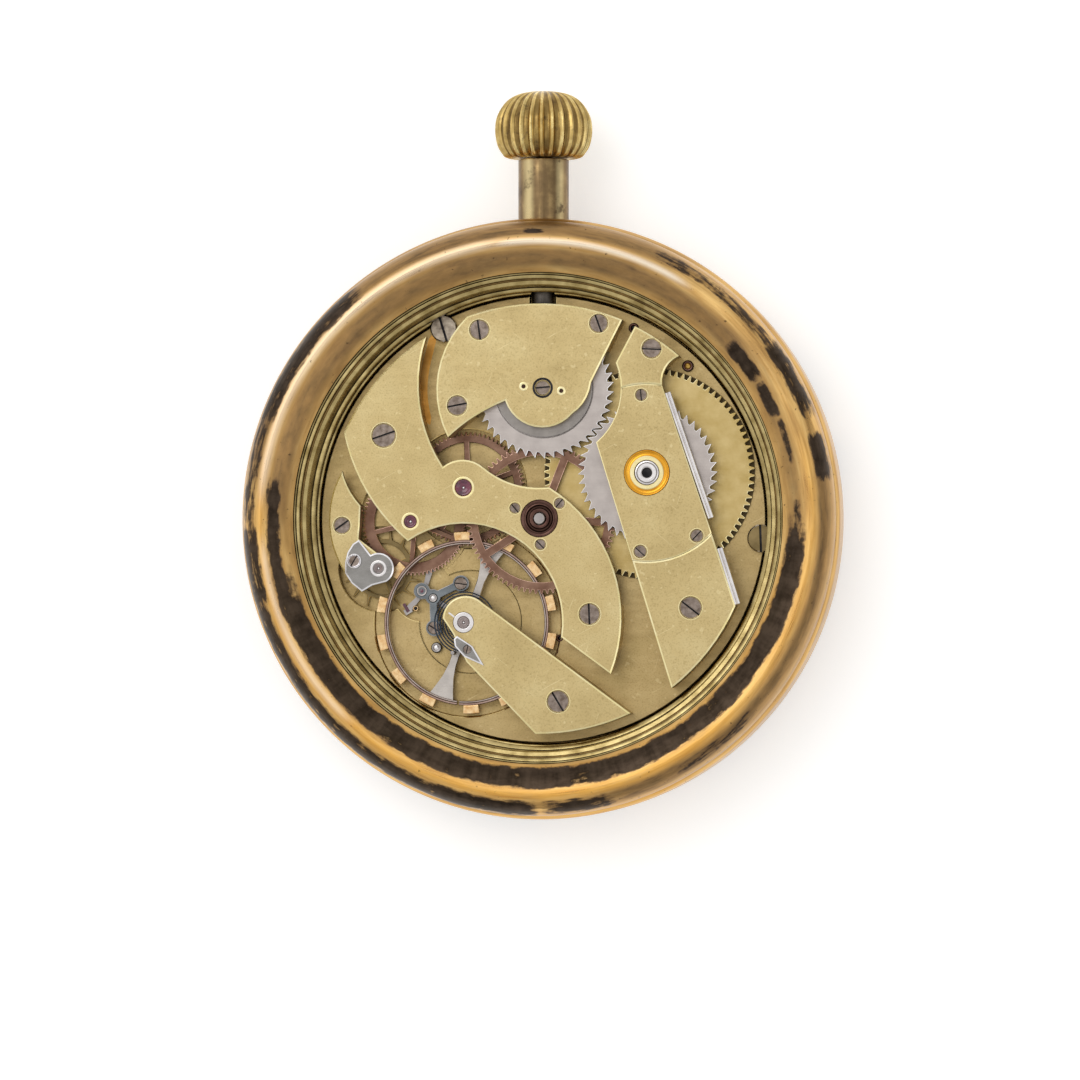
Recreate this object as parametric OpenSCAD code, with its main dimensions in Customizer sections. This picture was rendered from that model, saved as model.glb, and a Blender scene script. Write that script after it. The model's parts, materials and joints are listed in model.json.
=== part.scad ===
// Chronometer movement in an open backed case, with its pendant, crown, dial and hands.
// Lengths are millimetres. The dial side faces down and rests on the flat crystal at z = 0.
// The train side faces up. X runs right, Y runs up to the crown, centre arbor at x = y = 0.

/* [Case] */
// Wall of the case band beside the movement
case_wall = 7.25; // [6.8:0.05:8.3]
// Height of the case band between its two bezels
band_h = 7.1; // [6.9:0.1:8]
// Gap between the main plate and the edge of the opening in the back bezel
back_gap = 0.8; // [0.7:0.05:1.2]
// Width of the seat that takes a back cover
cover_seat_w = 0.6; // [0.5:0.05:1]
// Depth of the seat that takes a back cover
cover_seat_h = 0.8; // [0.5:0.1:1.2]
// Distance from the side of the case in to the round crest of the back bezel
crest_inset = 2.35; // [1.9:0.05:2.8]
// Height of the back bezel
back_bezel_h = 3.1; // [2.9:0.1:3.6]
// Distance from the rim of the main plate in to the edge of the crystal
crystal_inset = 0.6; // [0.2:0.05:1]
// Thickness of the crystal
crystal_t = 1.3; // [1:0.1:1.8]
// Height of the crystal that stands proud of the front bezel
crystal_proud = 0.5; // [0.3:0.1:0.8]
// Width of the ledge that the crystal sits on
crystal_ledge = 0.8; // [0.5:0.1:1]
// Height of the snap lip under the back bezel
lip_h = 1.2; // [0.6:0.1:1.6]
// Wall of the snap lip under the back bezel
lip_t = 0.5; // [0.4:0.1:0.8]

/* [Pendant and crown] */
// Radius of the pendant tube
pendant_r = 2.45; // [2.2:0.05:2.8]
// Length of the pendant tube that stands out of the case band
pendant_len = 5.95; // [4:0.05:8]
// Radius of the spigot that holds the pendant in the band
spigot_r = 1.75; // [1.6:0.05:1.9]
// Largest radius of the crown
crown_r = 4.73; // [4:0.05:5.5]
// Length of the crown
crown_len = 6.5; // [5.5:0.1:8]
// Number of flutes round the crown
crown_flutes = 27; // [20:1:34]
// Depth of the crown flutes
flute_depth = 0.32; // [0.2:0.02:0.45]
// Radius of the winding stem
stem_r = 0.8; // [0.7:0.05:0.9]
// Side of the square on the winding stem
stem_square = 1.1; // [1:0.05:1.15]
// Height of the winding stem above the dial face of the plate
stem_rise = 3.3; // [3.2:0.05:3.5]
// Travel of the crown between winding and hand setting
crown_pull = 0.8; // [0.5:0.1:0.9]
// Radius of the dark collar on the stem
collar_r = 1.4; // [1.2:0.05:1.5]
// Length of the dark collar on the stem
collar_len = 1.05; // [0.8:0.05:1.2]

/* [Plate and bridges] */
// Radius of the main plate
plate_r = 21.6; // [21.4:0.05:21.9]
// Thickness of the main plate at its rim
plate_t = 4.1; // [4.05:0.05:4.4]
// Depth of the dial side recess that holds the motion works
works_depth = 1.5; // [1.45:0.05:1.6]
// Width of the rim round the dial side recess that holds the motion works
works_rim = 2.0; // [1.8:0.05:2.1]
// Distance from the rim of the main plate in to the outer edge of the bridges
bridge_inset = 0.9; // [0.8:0.05:1.1]
// Thickness of the train bridge
train_bridge_t = 1.35; // [1.2:0.05:1.6]
// Thickness of the two winding bridges
wind_bridge_t = 0.8; // [0.7:0.05:1]
// Thickness of the balance cock
cock_t = 1.6; // [1.3:0.05:1.8]
// Thickness of the escape cock
escape_cock_t = 0.8; // [0.6:0.05:1]
// Thickness of the steel cap over the escape arbor
cap_t = 0.4; // [0.3:0.05:0.6]
// Thickness of the pallet bridge
pallet_bridge_t = 0.5; // [0.4:0.05:0.5]
// Thickness of the plate that is let into the barrel bridge
arbor_plate_t = 0.4; // [0.3:0.05:0.5]

/* [Dial and hands] */
// Distance from the rim of the main plate in to the edge of the dial
dial_inset = 0.4; // [0.2:0.05:0.7]
// Thickness of the dial
dial_t = 0.6; // [0.5:0.05:0.8]
// Room between crystal and dial for the hands
hand_room = 2.0; // [1.9:0.1:2.6]
// Radius of the sunk seconds circle
seconds_r = 5.4; // [4.5:0.1:6]
// Length of the hour hand
hour_len = 11.0; // [8:0.5:12]
// Length of the minute hand
minute_len = 16.5; // [14:0.5:18]
// Length of the seconds hand
second_len = 4.6; // [3.5:0.1:5]
// Thickness of each hand
hand_t = 0.22; // [0.15:0.01:0.25]

/* [Going train] */
// Teeth of the barrel
barrel_teeth = 90; // [88:2:92]
// Leaves of the centre pinion
centre_leaves = 12; // [11:1:13]
// Distance from centre arbor to barrel arbor, as a share of the plate radius
barrel_share = 0.521759; // [0.5195:0.0005:0.527]
// Teeth of the centre wheel
centre_teeth = 80; // [78:1:82]
// Leaves of the third pinion
third_leaves = 10; // [9:1:11]
// Distance from centre arbor to third arbor, as a share of the plate radius
third_share = 0.367593; // [0.3635:0.0005:0.37]
// Teeth of the third wheel
third_teeth = 75; // [73:1:77]
// Leaves of the fourth pinion
fourth_leaves = 10; // [9:1:11]
// Distance from third arbor to fourth arbor, as a share of the plate radius
fourth_share = 0.281944; // [0.278:0.0005:0.2845]
// Teeth of the fourth wheel
fourth_teeth = 80; // [78:1:82]
// Leaves of the escape pinion
escape_leaves = 8; // [7:1:9]
// Distance from fourth arbor to escape arbor, as a share of the plate radius
escape_share = 0.255556; // [0.2525:0.0005:0.259]
// Thickness of the train wheels
wheel_t = 0.3; // [0.25:0.01:0.35]
// Thickness of the barrel teeth
barrel_tooth_t = 0.5; // [0.45:0.05:0.55]
// Radius of the barrel drum, as a share of the plate radius
drum_share = 0.430556; // [0.417:0.001:0.4325]
// Wall of the barrel drum
drum_wall = 0.7; // [0.5:0.05:0.9]
// Height of the boss on top of the barrel
barrel_boss_h = 0.3; // [0.2:0.05:0.4]
// Turns of the mainspring
mainspring_turns = 9; // [6:1:10]
// Thickness of the mainspring
mainspring_t = 0.2; // [0.15:0.01:0.25]
// Radius of the train pivots
pivot_r = 0.15; // [0.12:0.01:0.2]
// Radius of the centre arbor in the plate
centre_arbor_r = 0.9; // [0.8:0.05:0.95]
// Radius of the upper centre pivot
centre_pivot_r = 0.5; // [0.4:0.02:0.55]

/* [Escapement and balance] */
// Teeth of the escape wheel
escape_teeth = 15; // [15]
// Tip radius of the escape wheel, as a share of the plate radius
escape_tip_share = 0.180556; // [0.176:0.001:0.1825]
// Distance from escape arbor to pallet arbor, as a share of the plate radius
pallet_share = 0.208333; // [0.2065:0.0005:0.2125]
// Radius of the balance rim, as a share of the plate radius
balance_share = 0.37037; // [0.3615:0.001:0.3745]
// Width of the balance rim
rim_w = 0.4; // [0.3:0.05:0.5]
// Height of the balance rim
rim_h = 0.8; // [0.6:0.05:0.8]
// Number of balance screws
balance_screw_count = 14; // [8:2:16]
// Length of the balance screw heads
balance_screw_len = 0.85; // [0.6:0.05:0.9]
// Radius of the balance screw heads
balance_screw_r = 0.36; // [0.3:0.01:0.38]
// Radius of the impulse roller
roller_r = 1.3; // [1.2:0.05:1.4]
// Radius from the staff to the impulse pin
impulse_r = 1.0; // [0.95:0.05:1.05]
// Outer radius of the hairspring
hairspring_r = 3.1; // [2.9:0.05:3.2]
// Turns of the hairspring
hairspring_turns = 3.75; // [3.25:0.25:3.75]
// Thickness of the hairspring strip
hairspring_t = 0.15; // [0.1:0.01:0.16]

/* [Winding works] */
// Teeth of the crown wheel and of the ratchet wheel
wind_teeth = 46; // [44:1:48]
// Distance from crown wheel to ratchet wheel, as a share of the plate radius
wind_share = 0.600463; // [0.5975:0.0005:0.606]
// Height of the saw teeth
saw_h = 0.6; // [0.5:0.02:0.62]
// Thickness of the winding wheels
wind_t = 0.6; // [0.5:0.05:0.65]
// Radius of the grey seat of the crown wheel, as a share of the plate radius
seat_share = 0.217593; // [0.204:0.001:0.222]
// Leaves of the winding pinion
winding_leaves = 11; // [11]
// Teeth under the crown wheel that the winding pinion drives
contrate_teeth = 32; // [32]
// Pitch radius of the winding pinion, as a share of the plate radius
winding_share = 0.078704; // [0.0745:0.0005:0.081]
// Radius of the barrel arbor where it shows in its bush
barrel_arbor_r = 1.15; // [1.05:0.05:1.2]
// Outer radius of the gilt bush of the barrel arbor
chaton_r = 2.2; // [2:0.05:2.3]

/* [Motion works] */
// Leaves of the cannon pinion
cannon_leaves = 12; // [12]
// Teeth of the minute wheel
minute_teeth = 36; // [36]
// Leaves of the minute pinion
minute_leaves = 10; // [10]
// Teeth of the hour wheel
hour_teeth = 40; // [40]
// Teeth of the setting wheel
setting_teeth = 18; // [18]
// Distance from centre arbor to minute wheel post, as a share of the plate radius
minute_share = 0.222222; // [0.22:0.0005:0.2245]

/* [Clearances] */
// Radial gap of pivots and arbors in their holes
run_gap = 0.03; // [0.02:0.005:0.04]
// Gap between a piece and the pocket or hole that it sits in
seat_gap = 0.03; // [0.02:0.005:0.05]
// Axial gap between pieces that turn past each other
level_gap = 0.15; // [0.12:0.01:0.18]
// Gap round a wheel in its recess in the plate
recess_gap = 0.25; // [0.2:0.01:0.3]

/* [Hidden] */
$fn = 64;
cut = 0.5; // how far a cutting tool runs past the surface that it cuts

// Radii of the case and the plate
back_open_r = plate_r + back_gap;
cover_seat_r = back_open_r + cover_seat_w;
band_bore = plate_r + 0.1;
case_r = band_bore + case_wall;
crest_r = case_r - crest_inset;
crystal_r = plate_r - crystal_inset;
works_r = plate_r - works_rim;
bridge_r = plate_r - bridge_inset;
dial_r = plate_r - dial_inset;
pendant_end = case_r + pendant_len;

// The plan of the movement is drawn for a plate of radius 21.6, and grows with the real one
grow = plate_r / 21.6;
barrel_dist = barrel_share * plate_r;
third_dist = third_share * plate_r;
fourth_dist = fourth_share * plate_r;
escape_dist = escape_share * plate_r;
drum_r = drum_share * plate_r;
escape_r = escape_tip_share * plate_r;
pallet_dist = pallet_share * plate_r;
balance_r = balance_share * plate_r;
wind_dist = wind_share * plate_r;
seat_r = seat_share * plate_r;
winding_r = winding_share * plate_r;
minute_dist = minute_share * plate_r;

// Levels, from the crystal up
dial_z = crystal_t + hand_room;
plate_z = dial_z + dial_t;
web_z = plate_z + works_depth;
top_z = plate_z + plate_t;
stem_z = plate_z + stem_rise;
train_floor = top_z - 1.2;
third_z = train_floor + 0.2;
fourth_z = third_z + wheel_t + 0.3;
drum_floor = web_z + 0.6;
drum_z = drum_floor + 0.1;
great_z = top_z + level_gap;
great_top = great_z + barrel_tooth_t;
well_z = top_z - 0.4;
rim_z = top_z + 0.3;
centre_z = rim_z + rim_h + level_gap + 0.05;
wind_z = centre_z + wheel_t + level_gap;
wind_bridge_z = wind_z + wind_t + level_gap;
train_bridge_z = centre_z + wheel_t + 0.25;
train_top = train_bridge_z + train_bridge_t;
wind_top = wind_bridge_z + wind_bridge_t;
escape_cock_z = rim_z + rim_h + 0.2;
cap_z = escape_cock_z + escape_cock_t;
cock_z = train_bridge_z + 0.15;
cock_top = cock_z + cock_t;
pallet_bridge_z = well_z + 0.1;
hairspring_z = cock_z - 0.4;
band_z = plate_z + 0.5;
band_top = band_z + band_h;
bezel_z = crystal_proud;

// Arbor places on the plate
function polar(r, a) = r * [cos(a), sin(a)];
function aim(a, b) = atan2(b[1] - a[1], b[0] - a[0]);
centre_at = [0, 0];
barrel_aim = 22.8;
third_aim = 157.9;
fourth_aim = 212.3;
escape_aim = 234.6;
barrel_at = polar(barrel_dist, barrel_aim);
third_at = polar(third_dist, third_aim);
fourth_at = third_at + polar(fourth_dist, fourth_aim);
escape_at = fourth_at + polar(escape_dist, escape_aim);
pallet_at = escape_at + polar(pallet_dist, -28.6);
balance_at = grow * [-7.3, -10];
crown_wheel_at = barrel_at + polar(wind_dist, 140.8);
minute_at = polar(minute_dist, 97.2);
setting_at = grow * [0, 10.1];
setting_post = grow * [3.6, 18.75];
clutch_post = grow * [-3.6, 14.9];
click_at = barrel_at + grow * polar(8.6, -62);

// Pitch radii, shared out by tooth counts
function share(dist, a, b) = dist * a / (a + b);
great_pitch = share(barrel_dist, barrel_teeth, centre_leaves);
centre_pinion_pitch = share(barrel_dist, centre_leaves, barrel_teeth);
centre_pitch = share(third_dist, centre_teeth, third_leaves);
third_pinion_pitch = share(third_dist, third_leaves, centre_teeth);
third_pitch = share(fourth_dist, third_teeth, fourth_leaves);
fourth_pinion_pitch = share(fourth_dist, fourth_leaves, third_teeth);
fourth_pitch = share(escape_dist, fourth_teeth, escape_leaves);
escape_pinion_pitch = share(escape_dist, escape_leaves, fourth_teeth);
cannon_pitch = share(minute_dist, cannon_leaves, minute_teeth);
minute_pitch = share(minute_dist, minute_teeth, cannon_leaves);
minute_pinion_pitch = share(minute_dist, minute_leaves, hour_teeth);
hour_pitch = share(minute_dist, hour_teeth, minute_leaves);
setting_pitch = norm(setting_at - minute_at) - minute_pitch;
wind_pitch = wind_dist / 2;
wheel_add = 1.05; // height of a wheel tooth above its pitch circle, in modules
wheel_ded = 1.15;
leaf_add = 0.75;
leaf_ded = 1.45;
function module_of(pitch, teeth) = 2 * pitch / teeth;
function wheel_tip(pitch, teeth) = pitch + wheel_add * module_of(pitch, teeth);
centre_tip = wheel_tip(centre_pitch, centre_teeth);
third_tip = wheel_tip(third_pitch, third_teeth);
fourth_tip = wheel_tip(fourth_pitch, fourth_teeth);
great_tip = wheel_tip(great_pitch, barrel_teeth);
wind_tip = wind_pitch + saw_h / 2;
well_r = balance_r + balance_screw_len + recess_gap;
escape_well_r = escape_r + recess_gap;
barrel_well_r = drum_r + recess_gap;

// Plain shapes
module at(p, z = 0) { translate([p[0], p[1], z]) children(); }
module disc(p, r, z0, z1) { at(p, z0) cylinder(r = r, h = z1 - z0); }
module ring(p, r_out, r_in, z0, z1) {
    difference() {
        disc(p, r_out, z0, z1);
        disc(p, r_in, z0 - cut, z1 + cut);
    }
}
module slab(points, z0, z1) { translate([0, 0, z0]) linear_extrude(z1 - z0) polygon(points); }
module along_y(r, y0, y1) {
    translate([0, y0, stem_z]) rotate([-90, 0, 0]) cylinder(r = r, h = y1 - y0);
}
module bar(a, b, w, z0, z1) {
    at(a, z0) rotate(aim(a, b)) translate([0, -w / 2, 0]) cube([norm(b - a), w, z1 - z0]);
}

// Arcs for outlines. Each leaves its last point to the next stretch.
function sweep_by(a) = a > 180 ? a - 360 : a < -180 ? a + 360 : a;
function about(c, a, b, n = 12) = let (a0 = aim(c, a), turn = sweep_by(aim(c, b) - a0))
    [for (i = [0:n - 1]) c + polar(norm(a - c) + (norm(b - c) - norm(a - c)) * i / n, a0 + turn * i / n)];
function bow(a, b, sag, n = 10) = let (l = norm(b - a), r = (l * l / 4 + sag * sag) / (2 * sag),
    side = [a[1] - b[1], b[0] - a[0]] / l) about((a + b) / 2 + (sag - r) * side, a, b, n);
function on_rim(p) = p * bridge_r / grow / norm(p);

// Toothed shapes
function teeth_points(teeth, root, tip, foot, crest, first) = [for (i = [0:teeth - 1], k = [0:3])
    polar(k == 1 || k == 2 ? tip : root,
        first + (i + (k < 2 ? -1 : 1) * (k == 1 || k == 2 ? crest : foot) / 2) * 360 / teeth)];
function wheel_points(pitch, teeth, first) = let (m = module_of(pitch, teeth))
    teeth_points(teeth, pitch - wheel_ded * m, pitch + wheel_add * m, 0.62, 0.2, first);
function leaf_points(pitch, teeth, first) = let (m = module_of(pitch, teeth))
    teeth_points(teeth, pitch - leaf_ded * m, pitch + leaf_add * m, 0.38, 0.22, first);
function saw_points(teeth, root, tip, first) = [for (i = [0:teeth - 1], k = [0:2])
    polar(k == 1 ? tip : root, first + (i + [0, 0.62, 0.7][k]) * 360 / teeth)];

// A train wheel with its crossings, each an opening between two spokes
function arc(r, a0, a1, n = 8) = [for (i = [0:n]) polar(r, a0 + (a1 - a0) * i / n)];
function opening(r_in, r_out, a0, a1, spoke_w) = let (d_in = asin(spoke_w / 2 / r_in),
    d_out = asin(spoke_w / 2 / r_out)) concat(arc(r_out, a0 + d_out, a1 - d_out),
    arc(r_in, a1 - d_in, a0 + d_in, 4));
module crossed_wheel(pitch, teeth, first, z, bore, rim, hub, spokes, spoke_w, spoke_first) {
    step = 360 / spokes;
    difference() {
        translate([0, 0, z]) linear_extrude(wheel_t) polygon(wheel_points(pitch, teeth, first));
        for (i = [0:spokes - 1]) slab(opening(hub, rim, spoke_first + i * step,
            spoke_first + (i + 1) * step, spoke_w), z - cut, z + wheel_t + cut);
        disc(centre_at, bore, z - cut, z + wheel_t + cut);
    }
}
// The leaves of a pinion, between two levels
module pinion(pitch, teeth, first, z0, z1) {
    translate([0, 0, z0]) linear_extrude(z1 - z0) polygon(leaf_points(pitch, teeth, first));
}

// Screws of the bridges: place, head radius, level of the top, slot angle, and a bottom for the small ones
stud_plate_t = 0.25;
head_sink = 0.45;
head_drop = 0.05;
shank_share = 0.5;
bridge_fixings = [
    [grow * [-5.8, 18.2], 0.95, wind_top, 98], [grow * [5.75, 18.75], 0.88, wind_top, 110],
    [grow * [-7.95, 10.9], 0.95, wind_top, 11], [grow * [10.85, 16.3], 0.92, wind_top, 177],
    [grow * [14.6, -8.6], 1.05, wind_top, 142], [grow * [-15.1, 8.05], 1.15, train_top, 19],
    [grow * [4.85, -9.2], 1.0, train_top, 92], [grow * [1.85, -17.6], 1.05, cock_top, 121]];
small_fixings = [
    [grow * [9.85, 11.85], 0.55, wind_top, 95, wind_bridge_z],
    [grow * [9.75, -3.2], 0.6, wind_top, 138, wind_bridge_z],
    [grow * [15.2, -1.7], 0.6, wind_top, 47, wind_bridge_z],
    [grow * [-2.35, 1.0], 0.5, train_top, 130, train_bridge_z + 0.3],
    [grow * [1.95, 1.45], 0.5, train_top, 50, train_bridge_z + 0.3],
    [grow * [0.1, -2.5], 0.5, train_top, 135, train_bridge_z + 0.3],
    [grow * [-19.3, -0.6], 0.8, cap_z, 35, top_z - 0.8],
    [grow * [-18.05, -4.05], 0.55, cap_z + cap_t + 0.2, 60, escape_cock_z + 0.1],
    [grow * [-7.95, -6.2], 0.6, pallet_bridge_z + pallet_bridge_t + 0.1, 172, train_floor + 0.2],
    [grow * [-10.55, -10.5], 0.6, pallet_bridge_z + pallet_bridge_t + 0.1, 149, train_floor + 0.2],
    [crown_wheel_at, 0.7, wind_top, 5, wind_z + 0.05],
    [grow * [-6.9, -12.6], 0.4, cock_top + stud_plate_t, 75, cock_z + 0.8]];
module screw(p, r, top, slot, bottom) {
    difference() {
        union() {
            disc(p, r, top - head_sink, top);
            disc(p, r * shank_share, bottom, top - head_sink + 0.1);
        }
        at(p, top - 0.2) rotate(slot) translate([-r - cut, -0.11, 0]) cube([2 * (r + cut), 0.22, 1]);
    }
}
module screw_hole(p, r, top, bottom) {
    disc(p, r + seat_gap, top - head_drop - head_sink, top + 3);
    disc(p, r * shank_share + seat_gap, bottom, top - head_sink + 0.1);
}
bridge_screw_bottom = top_z - 1.6;
module bridge_holes() {
    for (s = bridge_fixings) screw_hole(s[0], s[1], s[2], bridge_screw_bottom - 0.1);
}
module small_holes(list) {
    for (i = list) let (s = small_fixings[i]) screw_hole(s[0], s[1], s[2], s[4] - 0.1);
}
// Case screws: place, head radius, slot angle
case_fixings = [[grow * [-9.6, 18.5], 1.3, 107], [grow * [21.2, -1.9], 1.35, 92]];
case_screw_top = top_z + 0.6;
case_screw_bottom = top_z - 1.5;
case_shank_r = 0.5;
module case_shank_holes() {
    for (s = case_fixings) disc(s[0], case_shank_r + seat_gap, case_screw_bottom - 0.1, top_z + cut);
}

// Outlines seen from the train side, drawn on the plan and then grown with the plate
balance_plan = balance_at / grow;
escape_plan = escape_at / grow;
train_outline = grow * concat(
    about(centre_at, on_rim([-11.0, 17.6]), on_rim([-18.95, 8.3])),
    bow(on_rim([-18.95, 8.3]), [-12.75, -2.15], -1.02),
    about(balance_plan, [-12.75, -2.15], [2.1, -11.4], 20),
    [[2.1, -11.4]],
    about([-6.92, -9.3], [6.9, -14.95], [0.95, 3.0], 16),
    about([-0.08, 11.27], [0.95, 3.0], [-5.4, 4.9], 10),
    about([-7.45, 2.64], [-5.4, 4.9], [-9.35, 5.0], 8),
    bow([-9.35, 5.0], on_rim([-11.0, 17.6]), 1.45));
wind_outline = grow * concat(
    about(centre_at, on_rim([-7.0, 19.5]), on_rim([8.0, 19.05])),
    [on_rim([8.0, 19.05])],
    about([0.3, 12.55], [5.0, 13.1], [3.2, 10.1], 5),
    about([0.3, 12.55], [3.2, 10.1], [-3.3, 11.35], 12),
    about([3.01, -4.62], [-3.3, 11.35], [-8.85, 7.85], 8),
    bow([-8.85, 7.85], on_rim([-7.0, 19.5]), 1.95));
barrel_outline = grow * concat(
    [[9.25, 18.45]],
    bow([7.4, 14.95], [5.5, 7.3], 1.27),
    [[5.5, 7.3]],
    about(centre_at, on_rim([12.75, -16.3]), on_rim([18.8, -8.4]), 8),
    [on_rim([18.8, -8.4]), [16.2, -0.2]],
    about([14.52, 13.03], [11.85, 12.75], [13.5, 15.58], 6),
    about(centre_at, [13.5, 15.58], [9.25, 18.45], 8));
cock_outline = grow * concat(
    [on_rim([8.85, -18.8])],
    about([-7.1, -9.7], [-5.5, -8.1], [-9.3, -9.6], 12),
    [[-9.3, -9.6], [-8.3, -11.1], [-7.0, -13.8]],
    about(centre_at, on_rim([-0.35, -20.85]), on_rim([8.85, -18.8]), 8));
escape_cock_outline = grow * concat(
    about([-11.27, -0.37], [-19.3, 4.65], [-17.4, -7.0], 18),
    [[-17.4, -7.0]],
    about(escape_plan, escape_plan + polar(1.25, -95), escape_plan + polar(1.25, 84), 10),
    [escape_plan + polar(1.25, 84), [-17.7, -1.9], [-17.6, -0.8]],
    bow([-17.5, 1.3], [-19.3, 4.65], 0.25, 5));
cap_outline = grow * concat(
    [[-17.6, -2.0]],
    about(escape_plan, escape_plan + polar(1.5, 120), escape_plan + polar(1.5, -58), 14),
    [escape_plan + polar(1.5, -58), [-16.3, -6.4], [-17.3, -7.0], [-18.3, -6.2], [-18.95, -5.2],
        [-18.95, -4.2], [-18.7, -3.2], [-18.2, -2.4]]);
foot_rings = 0.35; // gap between a bridge foot and the wheel that turns beside it

// Case

band_upper_bore = back_open_r + 0.5;
collar_y = plate_r - 0.7;
collar_room = collar_y + collar_len + crown_pull + 0.15;
module case_band() color("#a9804f") difference() {
    rotate_extrude() polygon([[band_bore, band_z], [case_r - 0.6, band_z], [case_r, band_z + 0.5],
        [case_r, band_top - 0.7], [case_r - 0.5, band_top], [band_upper_bore, band_top],
        [band_upper_bore, top_z], [band_bore, top_z]]);
    along_y(stem_r + 0.2, band_bore - 1, case_r + 1);
    along_y(collar_r + 0.12, band_bore - 1, collar_room);
    along_y(spigot_r + seat_gap, case_r - 4, case_r + 1);
    case_shank_holes();
}
lip_r = band_upper_bore - 0.05;
bezel_in = cover_seat_r + 0.6;
bezel_top = band_top + back_bezel_h;
module back_bezel() color("#b88a50") {
    crest_low = [for (i = [0:8]) let (t = i / 8) [bezel_in + (crest_r - bezel_in) * t,
        band_top + cover_seat_h + 1.1 + (back_bezel_h - cover_seat_h - 1.1) * sin(90 * t)]];
    crest_out = [for (i = [1:10]) let (a = 90 - 9 * i) [crest_r + (case_r - 0.35 - crest_r) * cos(a),
        band_top + 0.5 + (back_bezel_h - 0.5) * sin(a)]];
    rotate_extrude() polygon(concat(
        [[back_open_r, band_top - lip_h], [back_open_r, band_top + 1.1 - 0.3],
            [cover_seat_r, band_top + 1.1 - 0.3], [cover_seat_r, band_top + cover_seat_h + 0.8],
            [bezel_in, band_top + cover_seat_h + 0.8]],
        crest_low, crest_out,
        [[case_r - 0.35, band_top], [lip_r, band_top], [lip_r, band_top - lip_h]]));
}
module front_bezel() color("#a9804f") {
    seat = crystal_r + 0.05;
    round_out = [for (i = [0:8]) let (a = -90 + 11.25 * i) [case_r - 3.4 + 3.0 * cos(a),
        bezel_z + 3.0 + (3.0) * sin(a)]];
    rotate_extrude() polygon(concat(
        [[seat - crystal_ledge, crystal_t], [seat, crystal_t], [seat, bezel_z + 0.2], [seat + 0.2, bezel_z]],
        round_out,
        [[case_r - 0.4, band_z], [band_bore, band_z], [band_bore, dial_z - 0.08],
            [seat - crystal_ledge, dial_z - 0.08]]));
}
module crystal() color("#dfe9ee", 0.35) rotate_extrude()
    polygon([[0, 0], [crystal_r - 0.5, 0], [crystal_r, 0.4], [crystal_r, crystal_t], [0, crystal_t]]);
module pendant_tube() color("#8a6a3c") difference() {
    union() {
        difference() {
            along_y(pendant_r, case_r - 1, pendant_end);
            disc(centre_at, case_r, 0, band_top + 2);
        }
        along_y(spigot_r, case_r - 3.8, case_r + 0.5);
    }
    along_y(stem_r + 0.2, case_r - 6, pendant_end + 1);
}
module case_screws() color("#9a9690") for (s = case_fixings) difference() {
    union() {
        disc(s[0], s[1], top_z, case_screw_top);
        disc(s[0], case_shank_r, case_screw_bottom, top_z + 0.1);
    }
    at(s[0], case_screw_top - 0.3) rotate(s[2]) translate([-3, -0.16, 0]) cube([6, 0.32, 1]);
}

// Crown and stem

crown_z0 = pendant_end + 0.1;
crown_profile = [[0, 3.35], [0.15, 3.6], [1.3, 4.45], [2.7, 4.73], [4.1, 4.5], [5.4, 3.7], [6.15, 2.6],
    [6.5, 1.35]];
crown_steps = 6; // points round each flute
function flute(r, a) = r - flute_depth * min(1, r / crown_r) * pow(abs(cos(a * crown_flutes / 2)), 3);
module crown() color("#8c713a") difference() {
    rings = len(crown_profile);
    sides = crown_flutes * crown_steps;
    points = [for (j = [0:rings - 1], i = [0:sides - 1]) let (a = i * 360 / sides,
        r = flute(crown_profile[j][1] * crown_r / 4.73, a))
        [r * cos(a), r * sin(a), crown_profile[j][0] * crown_len / 6.5]];
    walls = [for (j = [0:rings - 2], i = [0:sides - 1]) let (k = (i + 1) % sides)
        [j * sides + i, j * sides + k, (j + 1) * sides + k, (j + 1) * sides + i]];
    translate([0, crown_z0, stem_z]) rotate([-90, 0, 0]) polyhedron(points, concat(
        [for (f = walls) [f[0], f[2], f[1]]], [for (f = walls) [f[0], f[3], f[2]]],
        [[for (i = [0:sides - 1]) i]], [[for (i = [0:sides - 1]) rings * sides - 1 - i]]));
    along_y(stem_r + seat_gap, crown_z0 - 1, crown_z0 + 3.4);
}
square_y0 = grow * 12.55;
square_y1 = grow * 18.3;
groove_y = setting_post[1];
module winding_stem() color("#5b5650") {
    difference() {
        union() {
            along_y(stem_r, square_y1, crown_z0 + 3.4);
            along_y(collar_r, collar_y, collar_y + collar_len);
        }
        difference() {
            along_y(stem_r + 1, groove_y - 0.4, groove_y + 0.4);
            along_y(0.45, groove_y - 1, groove_y + 1);
        }
    }
    translate([-stem_square / 2, square_y0, stem_z - stem_square / 2])
        cube([stem_square, square_y1 - square_y0, stem_square]);
    along_y(0.4, square_y0 - 1.2, square_y0);
}

// Dial and hands

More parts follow.
